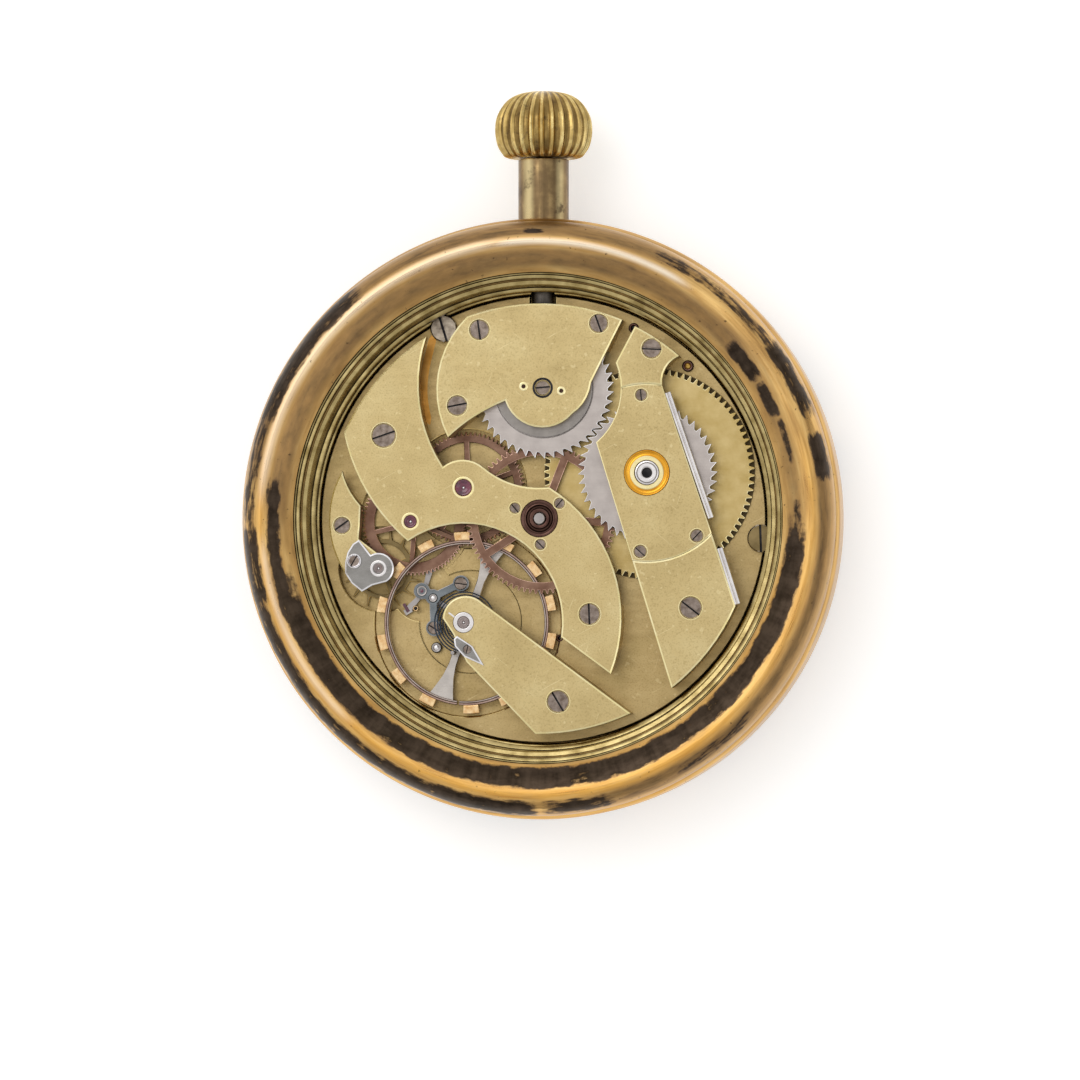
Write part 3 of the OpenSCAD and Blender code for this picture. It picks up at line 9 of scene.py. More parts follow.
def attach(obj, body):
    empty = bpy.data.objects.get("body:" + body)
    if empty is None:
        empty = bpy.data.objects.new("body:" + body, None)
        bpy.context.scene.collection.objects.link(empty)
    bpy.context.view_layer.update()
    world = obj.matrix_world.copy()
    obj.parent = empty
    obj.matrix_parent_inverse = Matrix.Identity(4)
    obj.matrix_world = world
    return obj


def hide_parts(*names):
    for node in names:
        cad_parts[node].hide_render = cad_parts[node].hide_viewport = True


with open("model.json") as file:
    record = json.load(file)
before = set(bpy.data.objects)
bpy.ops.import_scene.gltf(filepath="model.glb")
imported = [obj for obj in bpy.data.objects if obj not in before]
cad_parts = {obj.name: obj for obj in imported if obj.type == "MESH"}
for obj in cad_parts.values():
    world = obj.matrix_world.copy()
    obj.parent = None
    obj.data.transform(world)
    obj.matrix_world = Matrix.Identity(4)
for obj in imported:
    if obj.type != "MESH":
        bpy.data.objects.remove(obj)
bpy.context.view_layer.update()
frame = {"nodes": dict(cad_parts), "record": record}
nodes = frame["nodes"]
mm = 0.001  # every length below is in millimetres and goes through this
bodyOf = {n: b for b, group in frame["record"]["behaviour"]["bodies"].items() for n in group}
slotOf = {part["node"]: part["material_slot"] for part in frame["record"]["subparts"]}
barrelAt = (10.39, 4.37)
toothReach = max((v.co.xy / mm - Vector(barrelAt)).length for v in nodes["barrel_drum"].data.vertices)


# Materials

# settings that come back: three sums, an eased range, and a blend of colours 6 and 7 by share 0
times, plus, timesPlus = [{"operation": kind} for kind in ("MULTIPLY", "ADD", "MULTIPLY_ADD")]
eased = {"interpolation_type": "SMOOTHSTEP"}
blend = {"data_type": "RGBA", "out": 2}


def linear(hexColour):
    # a colour as it is written, turned to the linear values that a shader takes
    parts = [int(hexColour[i:i + 2], 16) / 255 for i in (1, 3, 5)]
    return [c / 12.92 if c <= 0.04045 else ((c + 0.055) / 1.055) ** 2.4 for c in parts] + [1.0]


def join(node, inputs):
    # another node's socket is linked to the input, and a number or a colour is set on it
    for key, value in (inputs.items() if isinstance(inputs, dict) else enumerate(inputs)):
        if isinstance(value, bpy.types.NodeSocket):
            node.id_data.links.new(value, node.inputs[key])
        else:
            node.inputs[key].default_value = linear(value) if isinstance(value, str) else value


def add(tree, kind, inputs=(), out=0, stops=(), **settings):
    # a node with its settings, links and colour stops, given back as one of its outputs
    node = tree.nodes.new("ShaderNode" + kind)
    for key, value in settings.items():
        setattr(node, key, value)
    join(node, inputs)
    if stops:
        elements = node.color_ramp.elements
        while len(elements) < len(stops):
            elements.new(0.5)
        for element, (at, colour) in zip(elements, stops):
            element.position = at
            element.color = linear(colour)
    return node.outputs[out]


def startMaterial(name, roughness, metallic=1.0, **sockets):
    material = bpy.data.materials.new(name)
    material.use_nodes = True
    tree = material.node_tree
    shader = tree.nodes["Principled BSDF"]
    join(shader, {"Metallic": metallic, "Roughness": roughness})
    join(shader, {key.replace("_", " "): value for key, value in sockets.items()})
    return material, tree, shader, add(tree, "TexCoord", out="Object")


def grain(tree, place, size, detail=2.0, rough=0.5, stretch=(1, 1, 1)):
    # noise whose blotches are about size millimetres across
    scale = 1 / (size * mm)
    spread = add(tree, "Mapping", {"Vector": place, "Scale": [scale * s for s in stretch]})
    return add(tree, "TexNoise", {"Vector": spread, "Scale": 1.0, "Detail": detail, "Roughness": rough})


def polarParts(tree, place):
    # distance from the centre arbor and the direction from it, so patina follows the round case
    x, y, z = add(tree, "SeparateXYZ", [place]).node.outputs
    squares = [add(tree, "Math", [side, side], **times) for side in (x, y)]
    radius = add(tree, "Math", [add(tree, "Math", squares, **plus)], operation="SQRT")
    safe = add(tree, "Math", [radius, 0.001], operation="MAXIMUM")
    cosine, sine = [add(tree, "Math", [side, safe], operation="DIVIDE") for side in (x, y)]
    return {"radius": radius, "cosine": cosine, "sine": sine, "z": z}


frosting = {
    "roughness": 0.4, "speckle": 0.45, "depth": 0.012,
    # sizes across of the grit, of the clouds in the gilding and of pits, hair scratches and rubbing
    "grit": 0.16, "cloud": 5.0, "pit": 0.55, "hair": 0.5, "rub": 2.2,
    "hairTurns": [(0.7, 4.0), (-0.5, 9.0), (1.9, 15.0)],  # direction of each set of scratches, and its shift
    "paintedShadeFade": 0.6, "paintedShadeR": (21.4, 21.2), "shadowRingFade": 0.12,
}


def frostedGilt(name, tones, depth=None, paintedShadowRings=()):
    # brass frosted with brushed salt paste and then mercury gilt: a soft even glow with a fine grit
    s = frosting
    material, tree, shader, place = startMaterial(name, s["roughness"])
    grit = grain(tree, place, s["grit"], 3, 0.6)
    cloud = grain(tree, place, s["cloud"], 3, 0.55)
    base = add(tree, "ValToRGB", [cloud], stops=list(zip((0.3, 0.5, 0.72), tones)))
    fine = add(tree, "ValToRGB", [grit], stops=[(0.3, "#b9b090"), (0.5, "#ffffff"), (0.72, "#fffdf2")])
    speckled = add(tree, "Mix", {0: 1.0, 6: base, 7: fine}, blend_type="MULTIPLY", **blend)
    colour = add(tree, "Mix", {0: s["speckle"], 6: base, 7: speckled}, **blend)
    for turn, shift in s["hairTurns"]:
        # hair scratches a few millimetres long
        spun = add(tree, "Mapping", {"Vector": place, "Rotation": (0, 0, turn), "Location": (shift, 0, 0)})
        hair = grain(tree, spun, s["hair"], 2, 0.5, (0.12, 3.2, 1))
        hair = add(tree, "MapRange", [hair, 0.71, 0.76, 0.0, 0.45], **eased)
        colour = add(tree, "Mix", {0: hair, 6: colour, 7: tones[3]}, **blend)
    pits = add(tree, "MapRange", [grain(tree, place, s["pit"], 1, 0.5), 0.69, 0.75, 0.0, 0.35], **eased)
    colour = add(tree, "Mix", {0: pits, 6: colour, 7: tones[3]}, **blend)
    if depth:
        # painted shade: the deep pockets below this height are coloured dark, as if in shadow
        here = polarParts(tree, place)
        low = [here["z"], depth * mm, (depth - s["paintedShadeFade"]) * mm, 0.0, 0.82]
        inside = [here["radius"], s["paintedShadeR"][0] * mm, s["paintedShadeR"][1] * mm]
        dark = [add(tree, "MapRange", window, **eased) for window in (low, inside)]
        colour = add(tree, "Mix", {0: add(tree, "Math", dark, **times), 6: colour, 7: "#2a2018"}, **blend)
    for x, y, reach in paintedShadowRings:
        # painted shadow: a dark ring on the plate under the barrel's teeth, where their shade falls
        shifted = add(tree, "Mapping", {"Vector": place, "Location": (-x * mm, -y * mm, 0)})
        far = polarParts(tree, shifted)["radius"]
        film = add(tree, "MapRange", [far, reach * mm, (reach - s["shadowRingFade"]) * mm, 0.0, 0.88], **eased)
        colour = add(tree, "Mix", {0: film, 6: colour, 7: "#1c1510"}, **blend)
    rub = grain(tree, place, s["rub"], 2, 0.5, (1, 3, 1))
    rub = add(tree, "MapRange", [rub, 0.25, 0.75, s["roughness"] - 0.05, s["roughness"] + 0.08], **eased)
    relief = add(tree, "Bump", {"Height": grit, "Distance": s["depth"] * mm, "Strength": 0.35})
    join(shader, {"Base Color": colour, "Roughness": rub, "Normal": relief})
    return material


def polishedMetal(name, tones, roughness, scratch=0.0, size=1.5, metallic=1.0):
    # turned or filed metal finished with polishing paste: clear reflections and faint hairline marks
    material, tree, shader, place = startMaterial(name, roughness, metallic)
    cloud = grain(tree, place, size, 3, 0.55)
    lines = grain(tree, place, 0.7, 4, 0.6, (0.25, 9, 1))
    join(shader, {
        "Base Color": add(tree, "ValToRGB", [cloud], stops=[(0.3, tones[0]), (0.7, tones[1])]),
        "Roughness": add(tree, "MapRange", [lines, 0.3, 0.7, roughness, roughness + 0.12], **eased)})
    if scratch:
        relief = add(tree, "Bump", {"Height": lines, "Distance": 0.01 * mm, "Strength": scratch})
        join(shader, {"Normal": relief})
    return material


def clouded(name, tones, size, roughness, detail=2, **sockets):
    # a smooth non-metal whose tone drifts a little across it
    material, tree, shader, place = startMaterial(name, roughness, 0.0, **sockets)
    cloud = grain(tree, place, size, detail, 0.5)
    join(shader, {"Base Color": add(tree, "ValToRGB", [cloud], stops=[(0.3, tones[0]), (0.7, tones[1])])})
    return material


def ringGrain(tree, here, along, across, detail=4.0, shift=0.0):
    # noise drawn out round the case: along is the length of a streak in degrees,
    # across its width in millimetres
    turns = 57.3 / along  # 57.3 degrees of a circle are as long as its radius
    slant = add(tree, "Math", [here["z"], 0.7], **times)
    outward = add(tree, "Math", [here["radius"], slant], operation="SUBTRACT")
    joined = add(tree, "CombineXYZ", [
        add(tree, "Math", [here["cosine"], turns, shift], **timesPlus),
        add(tree, "Math", [here["sine"], turns], **times),
        add(tree, "Math", [outward, 1 / (across * mm)], **times)])
    return add(tree, "TexNoise", {"Vector": joined, "Scale": 1.0, "Detail": detail, "Roughness": 0.6})


patina = {
    # each patch: from and to in degrees, inner and outer radius, soft edge, strength
    # dark patches where the lacquer wore off and the brass tarnished
    "dark": [
        (172, 204, 24.9, 26.0, 0.35, 0.85), (196, 357, 24.05, 25.85, 0.35, 1.0),
        (32.5, 41, 24.2, 25.5, 0.25, 1.0), (23.5, 30, 24.4, 25.4, 0.25, 0.85),
        (12, 21, 24.8, 25.4, 0.2, 0.6), (354, 363, 24.7, 25.4, 0.2, 0.6),
        (8, 16, 27.2, 28.4, 0.3, 0.85), (21, 36, 27.2, 28.4, 0.3, 0.8), (36, 66, 27.3, 28.2, 0.3, 0.5),
        (129, 160, 27.0, 28.6, 0.35, 0.75), (160, 182, 27.2, 28.5, 0.3, 0.55),
        (182, 197, 27.0, 28.6, 0.3, 0.72), (197, 250, 27.3, 28.5, 0.3, 0.8),
        (249, 269, 27.2, 28.5, 0.3, 1.0), (272, 285, 27.2, 28.3, 0.3, 0.75),
        (89, 92, 27.3, 27.7, 0.15, 0.8), (300, 318, 27.4, 28.2, 0.3, 0.45),
    ],
    # brown film left of the lacquer
    "film": [
        (35, 182, 24.1, 25.9, 0.5, 1.0), (62, 172, 26.95, 28.5, 0.5, 1.0),
        (284, 372, 26.95, 28.4, 0.5, 1.0), (-10, 40, 24.2, 25.6, 0.5, 0.7),
    ],
    # rubbed back to clean gold
    "brightened": [
        (186, 318, 26.2, 27.0, 0.45, 1.0), (312, 375, 26.2, 26.9, 0.45, 0.55),
        (150, 190, 26.3, 26.9, 0.4, 0.5), (200, 350, 23.85, 24.15, 0.2, 0.8),
        (190, 300, 28.45, 28.9, 0.3, 0.6),
    ],
    # painted highlight: pale glare where the crest catches the lamps
    "paintedGlare": [
        (58, 98, 26.25, 26.7, 0.3, 1.0), (98, 174, 26.2, 26.9, 0.35, 0.55),
        (186, 226, 26.2, 26.75, 0.3, 0.5),
    ],
    "goldTones": [(0.3, "#ad8550"), (0.48, "#cda262"), (0.68, "#e6be7a")],
    "brownTones": [(0.3, "#6c573f"), (0.7, "#a07d52")],
    "cleanTones": [(0.3, "#cf9644"), (0.7, "#e6b25c")],
    "blackTones": [(0.4, "#221d1a"), (0.6, "#483d34")],
}


def ringWindow(tree, here, patch):
    # one where the patch covers the case and nothing elsewhere, with soft edges
    start, end, inner, outer, soft, strength = patch
    middle, half = math.radians((start + end) / 2), (end - start) / 2
    blur = min(1.2 + half * 0.12, 8, half * 0.8)
    far, near = [math.cos(math.radians(a)) for a in (min(half + blur, 179), half - blur)]
    upward = add(tree, "Math", [here["sine"], math.sin(middle)], **times)
    toward = add(tree, "Math", [here["cosine"], math.cos(middle), upward], **timesPlus)
    rise = add(tree, "MapRange", [here["radius"], (inner - soft) * mm, (inner + soft) * mm], **eased)
    fall = [here["radius"], (outer + soft) * mm, (outer - soft) * mm, 0.0, strength]
    band = add(tree, "Math", [rise, add(tree, "MapRange", fall, **eased)], **times)
    return add(tree, "Math", [add(tree, "MapRange", [toward, far, near], **eased), band], **times)


def agedCaseBrass(name):
    # cast and turned brass, once lacquered: gold where fingers rub it, brown film elsewhere,
    # black tarnish in bands, and a painted highlight of glare along the crest
    material, tree, shader, place = startMaterial(name, 0.3)
    here = polarParts(tree, place)
    streak = ringGrain(tree, here, 14, 0.45)
    broad = ringGrain(tree, here, 30, 1.3, 3, 7.0)
    edge = ringGrain(tree, here, 4.5, 0.5, 7, 3.0)
    across = ringGrain(tree, here, 2.6, 3.0, 6, 11.0)
    masks = {}
    for group in ("dark", "film", "brightened", "paintedGlare"):
        for patch in patina[group]:
            window = ringWindow(tree, here, patch)
            both = [masks.get(group, window), window]
            masks[group] = add(tree, "Math", both, operation="MAXIMUM")
    drift = add(tree, "MapRange", [broad, 0.5, 0.72, 0.0, 0.4], **eased)
    film = add(tree, "Math", [masks["film"], 0.88, drift], use_clamp=True, **timesPlus)
    film = add(tree, "Math", [film, add(tree, "MapRange", [streak, 0.25, 0.6, 0.65, 1.0], **eased)], **times)
    brightened = add(tree, "MapRange", [edge, 0.3, 0.6, 0.5, 1.0], **eased)
    brightened = add(tree, "Math", [masks["brightened"], brightened], **times)
    # painted highlight: the glare windows turn the colour nearly white
    paintedGlare = add(tree, "Math", [masks["paintedGlare"], 0.8], **times)
    # the dark patches end in ragged edges, with a brown halo round the black
    ragged = add(tree, "Math", [across, 0.9, -1.55], **timesPlus)
    ragged = add(tree, "Math", [edge, 2.2, ragged], **timesPlus)
    ragged = add(tree, "Math", [masks["dark"], ragged], **plus)
    near = add(tree, "MapRange", [masks["dark"], 0.02, 0.25], **eased)
    halo = add(tree, "Math", [add(tree, "MapRange", [ragged, 0.05, 0.5, 0.0, 0.75], **eased), near], **times)
    worn = add(tree, "Math", [add(tree, "MapRange", [ragged, 0.34, 0.66], **eased), near], **times)
    tarnish = add(tree, "Math", [add(tree, "Math", [edge, across], **plus), 0.5], **times)
    specks = add(tree, "MapRange", [grain(tree, place, 0.5, 3, 0.6), 0.66, 0.74, 0.0, 0.75], **eased)
    colour = add(tree, "ValToRGB", [streak], stops=patina["goldTones"])
    for share, tone in (
            (film, add(tree, "ValToRGB", [edge], stops=patina["brownTones"])),
            (brightened, add(tree, "ValToRGB", [streak], stops=patina["cleanTones"])),
            (paintedGlare, "#f2e8d6"), (halo, "#6b543e"),
            (add(tree, "Math", [worn, 0.94], **times),
             add(tree, "ValToRGB", [tarnish], stops=patina["blackTones"])),
            (specks, "#4a3a2c")):
        colour = add(tree, "Mix", {0: share, 6: colour, 7: tone}, **blend)
    rough = add(tree, "MapRange", [streak, 0.3, 0.7, 0.26, 0.36], **eased)
    for dull in (film, worn):
        rough = add(tree, "Math", [dull, 0.1, rough], **timesPlus)
    relief = add(tree, "Bump", {"Height": edge, "Distance": 0.02 * mm, "Strength": 0.2})
    join(shader, {"Base Color": colour, "Roughness": rough, "Normal": relief})
    return material


def agedTurnedBrass(name, tones, spots, streaky=0.0, brightened=(), size=0.9):
    # turned brass handled for a century: olive brown film, small dark spots, and painted highlight lines
    material, tree, shader, place = startMaterial(name, 0.32)
    cloud = grain(tree, place, 2.4, 5, 0.62)
    if streaky:
        along = grain(tree, place, 1.3, 3, 0.5, (1, 0.12, 1))
        steady = add(tree, "Math", [cloud, 1 - streaky], **times)
        cloud = add(tree, "Math", [along, streaky, steady], **timesPlus)
    colour = add(tree, "ValToRGB", [cloud], stops=list(zip((0.3, 0.48, 0.62), tones)))
    x = add(tree, "SeparateXYZ", [place], "X")
    for middle, half, strength in brightened:
        # painted reflection of the lamps: an upright bright line, ragged with the film beside it
        far = add(tree, "Math", [add(tree, "Math", [x, -middle * mm], **plus)], operation="ABSOLUTE")
        line = [add(tree, "MapRange", [far, half * mm, 0.0, 0.0, strength], **eased),
                add(tree, "MapRange", [cloud, 0.3, 0.55, 0.5, 1.0], **eased)]
        colour = add(tree, "Mix", {0: add(tree, "Math", line, **times), 6: colour, 7: "#e2cc98"}, **blend)
    spot = add(tree, "MapRange", [grain(tree, place, size, 4, 0.65), 0.56, 0.68, 0.0, spots], **eased)
    dents = grain(tree, place, 0.4, 3, 0.6)
    join(shader, {
        "Base Color": add(tree, "Mix", {0: spot, 6: colour, 7: "#4a3a2e"}, **blend),
        "Roughness": add(tree, "MapRange", [cloud, 0.3, 0.7, 0.36, 0.24], **eased),
        "Normal": add(tree, "Bump", {"Height": dents, "Distance": 0.015 * mm, "Strength": 0.3})})
    return material


finishes = {
    # the case: gold, brown and black where hands, lacquer and damp have left it so
    "case_brass": agedCaseBrass("worn_lacquered_case_brass"),
    "case_dirt": polishedMetal("oil_browned_case_brass", ("#665336", "#8f7548"), 0.36),
    # painted shadow: near black on the bore under the ledge, where shade falls
    "case_shadow": polishedMetal("painted_shadow_case_brass", ("#2a2116", "#4c3d28"), 0.4),
    "seat_brass": polishedMetal("turned_case_seat_brass", ("#8f7b4c", "#c6b27c"), 0.2, 0.2),
    # the pendant's two upright bright lines are painted reflections of the lamps
    "pendant": agedTurnedBrass("turned_pendant_brass", ("#5a4936", "#7d6748", "#a98f62"), 0.75, 0.5,
                               [(-1.25, 0.75, 1.0), (1.75, 0.5, 0.9)], 2.2),
    "crown_brass": agedTurnedBrass("knurled_crown_brass", ("#a88c52", "#ccae6c", "#ecd492"), 0.35),
    # the flutes between the ribs are coloured darker than the ribs
    "crown_valley": agedTurnedBrass("darker_brass_in_crown_flutes", ("#6a5430", "#8c7242", "#a68a50"), 0.6),
    # gilding: matt and sandy on the flats, bright on every chamfer and in turned recesses
    # the main plate is coloured dark as painted shade in its deep pockets and under the barrel's teeth
    "plate_gilt": frostedGilt("frosted_gilt_main_plate", ("#ab9464", "#b8a070", "#c3ac7c", "#d8c494"),
                              depth=6.5, paintedShadowRings=[(*barrelAt, toothReach + 0.08)]),
    "bridge_gilt": frostedGilt("frosted_gilt_bridge", ("#bba675", "#c5b07e", "#cebb8a", "#e6d6a6")),
    "polished_gilt": polishedMetal("polished_gilt_chamfer", ("#eedd9e", "#faedbe"), 0.16),
    "edge_gilt": polishedMetal("bright_edge_of_plate_pockets", ("#cbb276", "#e2cb92"), 0.25),
    "turned_gilt": polishedMetal("turned_gilt_recess", ("#a8843f", "#c9a55a"), 0.3, 0.2),
    # painted reflection: the orange of the train bridge's polished side wall, laid on the plate beside it
    "wall_reflection_gilt": polishedMetal("painted_reflection_of_bridge_wall", ("#b8843e", "#dca65a"), 0.3, 0.2),
    "chaton_gold": polishedMetal("polished_gold_chaton", ("#e09a2c", "#f6b844"), 0.16),
    "gold": polishedMetal("gold_screw", ("#cfa068", "#f3d5a4"), 0.24, size=0.5),
    # steel: grained grey faces, mirror bright edges, and browned where old oil has dried on it
    "steel": polishedMetal("grained_steel", ("#98928f", "#aea8a4"), 0.32, 0.15),
    "wheel_steel": polishedMetal("circular_grained_wheel_steel", ("#a9a09b", "#bbb2ac"), 0.34, 0.15),
    "arm_steel": polishedMetal("matt_balance_arm_steel", ("#b3aca6", "#c8c1ba"), 0.42, 0.1),
    # painted shade: the crown wheel seat is coloured darker grey, as if shaded by the bridge over it
    "seat_steel": polishedMetal("painted_shade_grey_wheel_seat", ("#807a75", "#96908a"), 0.32, 0.15),
    "cap_steel": polishedMetal("grey_polished_cap_steel", ("#827f7b", "#95928e"), 0.24, 0.1),
    "bright_steel": polishedMetal("mirror_polished_steel", ("#d8d3d2", "#f0ecea"), 0.14),
    "steel_edge": polishedMetal("polished_steel_chamfer", ("#e6e2e4", "#fbf9fa"), 0.12),
    "screw_steel": polishedMetal("polished_screw_steel", ("#6b5d53", "#9a8c82"), 0.24, 0.2, 0.5),
    "case_screw_steel": polishedMetal("worn_case_screw_steel", ("#6f6358", "#b5a896"), 0.3, 0.3, 0.7),
    "dark_steel": polishedMetal("black_polished_steel", ("#64696c", "#7c8184"), 0.22),
    # black steel, also laid as painted shade in screw slots, holes and the crown wheel screw's recess
    "black_steel": polishedMetal("black_steel_and_painted_hole_shade", ("#1c1b1c", "#3a3838"), 0.3),
    "stem_steel": polishedMetal("worn_black_stem_steel", ("#2c2826", "#5c5650"), 0.2),
    "blued_steel": polishedMetal("flame_blued_steel", ("#1b2f66", "#2c4a8c"), 0.18),
    "spring_steel": polishedMetal("drawn_blued_spring_steel", ("#23272e", "#3b424c"), 0.24),
    # the balance rim: brass fused round steel, seen as two fine bands
    "rim_brass": polishedMetal("balance_rim_brass", ("#94766a", "#b39a8e"), 0.24, 0.1),
    "rim_steel": polishedMetal("balance_rim_steel", ("#a8968e", "#c4b4aa"), 0.26, 0.1),
    "rim_seam": polishedMetal("seam_of_fused_rim", ("#54453a", "#6e5d50"), 0.3),
    # brass of wheels and bushes: rose gilt in the train, yellow where it is bare, brown under old oil
    "wheel_brass": polishedMetal("gilt_wheel_brass", ("#b39a5a", "#c9b26e"), 0.3, 0.15),
    "drum_brass": polishedMetal("brushed_barrel_brass", ("#b59c62", "#c9b27c"), 0.3, 0.3),
    "rose_gilt": polishedMetal("rose_gilt_train_brass", ("#6c4e40", "#8f705e"), 0.28, 0.15),
    "rose_edge": polishedMetal("polished_rose_gilt_edge", ("#c99a86", "#e8c0ac"), 0.16),
    "escape_brass": polishedMetal("oil_dulled_escape_brass", ("#6b5b3c", "#8d7a54"), 0.3),
    "bush_brown": polishedMetal("oil_browned_bush_brass", ("#46302a", "#6e5248"), 0.2),
    # dark oil brown, also laid as painted shade in a hole and a slit of the plate
    "bush_dark": polishedMetal("burnt_oil_brown_and_painted_hole_shade", ("#33221c", "#4d3830"), 0.3),
    # synthetic ruby, ground and polished: deep red glass with a sharp highlight
    "ruby": clouded("polished_ruby", ("#4c1030", "#8a2448"), 0.8, 0.06, IOR=1.76, Transmission_Weight=0.35),
    # cap stone under old oil: the same gem, greyed by its film
    "cap_stone": clouded("oiled_cap_stone", ("#85736f", "#bba9a4"), 0.8, 0.06, IOR=1.76,
                         Transmission_Weight=0.35),
    # white vitreous enamel, fired and ground flat: dense white under a thin gloss
    "dial_enamel": clouded("white_vitreous_enamel", ("#f1eee3", "#f8f6ee"), 6.0, 0.16, 3, IOR=1.5,
                           Coat_Weight=0.6, Coat_Roughness=0.05),
    "ink": polishedMetal("fired_black_enamel_print", ("#101010", "#1a1a1c"), 0.35, metallic=0.0),
    # clear mineral glass, ground flat: faint green in its depth
    "crystal": clouded("clear_mineral_glass", ("#f2f7f5", "#fafdfc"), 9.0, 0.02, IOR=1.52,
                       Transmission_Weight=1.0),
}
print("materials made:", len(finishes))


# Mesh helpers


def shade(mesh, smooth):
    # round faces shade smoothly, while flats and folds sharper than smooth degrees keep a crisp edge
    bm = bmesh.new()
    bm.from_mesh(mesh)
    for face in bm.faces:
        face.smooth = True
    for edge in bm.edges:
        flat = [abs(face.normal.z) > 0.999 for face in edge.link_faces]
        edge.smooth = len(flat) == 2 and flat[0] == flat[1] and edge.calc_face_angle(0) < math.radians(smooth)
    bm.to_mesh(mesh)
    bm.free()


def keep(name, mesh, materials, node, body, smooth):
    # a finished piece: with a node, it stands for that CAD piece and rides on its body
    for finish in materials:
        mesh.materials.append(finishes[finish])
    shade(mesh, smooth)
    piece = bpy.data.objects.new(name, mesh)
    bpy.context.scene.collection.objects.link(piece)
    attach(piece, bodyOf[node] if node else body)
    if node:
        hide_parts(node)


def make(name, faces, materials, node=None, body="root", slot=None, smooth=32, fine=False):
    # faces are lists of places in millimetres, each with the number of its material,
    # and fine keeps apart corners that would otherwise be merged
    mesh = bpy.data.meshes.new(name)
    bm = bmesh.new()
    for points, kind in faces:
        face = bm.faces.new([bm.verts.new(Vector(p) * mm) for p in points])
        face.material_index = kind
    bmesh.ops.remove_doubles(bm, verts=bm.verts, dist=(0.00001 if fine else 0.0004) * mm)
    bmesh.ops.recalc_face_normals(bm, faces=bm.faces)
    bm.to_mesh(mesh)
    bm.free()
    keep(name, mesh, materials, node, body, smooth)


def polar(r, degrees, at=(0, 0)):
    turn = math.radians(degrees)
    return at[0] + r * math.cos(turn), at[1] + r * math.sin(turn)


def rounded(profile, radius, parts=3, closed=True):
    # the same line with its corners rounded off, apart from those too short or too flat for it
    out = []
    count = len(profile)
    for i, here in enumerate(profile):
        p = Vector(here)
        if not closed and i in (0, count - 1):
            out.append(tuple(p))
            continue
        before, after = Vector(profile[i - 1]), Vector(profile[(i + 1) % count])
        a, b = before - p, after - p
        reach = min(radius, a.length * 0.45, b.length * 0.45)
        if reach < 0.004 or a.normalized().dot(b.normalized()) < -0.97:
            out.append(tuple(p))
            continue
        start, end = p + a.normalized() * reach, p + b.normalized() * reach
        for k in range(parts + 1):
            t = k / parts
            out.append(tuple(start * (1 - t) ** 2 + p * 2 * t * (1 - t) + end * t * t))
    return out


def turnedFaces(profile, steps=96, at=(0, 0), closed=True, kinds=(0,), placed=None):
    # a profile of (radius, height) points turned about an upright axis, with a kind for each of its lines
    placed = placed or (lambda x, y, z: (x + at[0], y + at[1], z))
    turns = [polar(1, 360 * i / steps) for i in range(steps)]
    faces = []
    for j in range(len(profile) if closed else len(profile) - 1):
        (r0, z0), (r1, z1) = profile[j], profile[(j + 1) % len(profile)]
        for i in range(steps):
            (c0, s0), (c1, s1) = turns[i], turns[(i + 1) % steps]
            corners = [(r0 * c0, r0 * s0, z0), (r0 * c1, r0 * s1, z0), (r1 * c1, r1 * s1, z1),
                       (r1 * c0, r1 * s0, z1)]
            if r0 == 0:
                corners = corners[1:]
            elif r1 == 0:
                corners = corners[:3]
            faces.append(([placed(*p) for p in corners], kinds[j % len(kinds)]))
    return faces


def skinFaces(rings, kind=lambda i, j: 0):
    # faces between rings of points and over the first and last; kind takes a face's ring and place in it
    count = len(rings[0])
    faces = [([rings[i][j], rings[i][(j + 1) % count], rings[i + 1][(j + 1) % count], rings[i + 1][j]],
              kind(i, j)) for i in range(len(rings) - 1) for j in range(count)]
    return faces + [(rings[0], 0), (rings[-1], 0)]


def sweptFaces(profile, a0, a1, at, steps=64, kinds=(0,)):
    # a profile of (radius, height) points carried round part of a circle, closed at both ends
    turns = [a0 + (a1 - a0) * i / steps for i in range(steps + 1)]
    rings = [[(*polar(r, a, at), z) for r, z in profile] for a in turns]
    return skinFaces(rings, lambda i, j: kinds[j % len(kinds)])


def onLine(line, t):
    # a smooth run through the points, t from 0 to 1
    at = t * (len(line) - 1)
    i = min(int(at), len(line) - 2)
    u = at - i
    p = [Vector(line[min(max(k, 0), len(line) - 1)]) for k in (i - 1, i, i + 1, i + 2)]
    return 0.5 * (2 * p[1] + (p[2] - p[0]) * u + (2 * p[0] - 5 * p[1] + 4 * p[2] - p[3]) * u * u
                  + (3 * p[1] - p[0] - 3 * p[2] + p[3]) * u ** 3)


def placeOf(vertex):
    return round(vertex.co.x / mm, 3), round(vertex.co.y / mm, 3)


def roundHoles(flats):
    # the corners of small round holes in these faces, which are not chamfered
    inside = set(flats)
    rim = {e for f in flats for e in f.edges if sum(g in inside for g in e.link_faces) == 1}
    found = set()
    while rim:
        edge = rim.pop()
        loop, tip = list(edge.verts), edge.verts[1]
        while True:
            onward = next((e for e in tip.link_edges if e in rim), None)
            if not onward:
                break
            rim.remove(onward)
            tip = onward.other_vert(tip)
            loop.append(tip)
        middle = sum((v.co.xy for v in loop[1:]), Vector((0, 0))) / (len(loop) - 1)
        reach = [(v.co.xy - middle).length / mm for v in loop]
        if max(reach) - min(reach) < 0.05 and max(reach) < 2.4:
            found.update(placeOf(v) for v in loop)
    return found


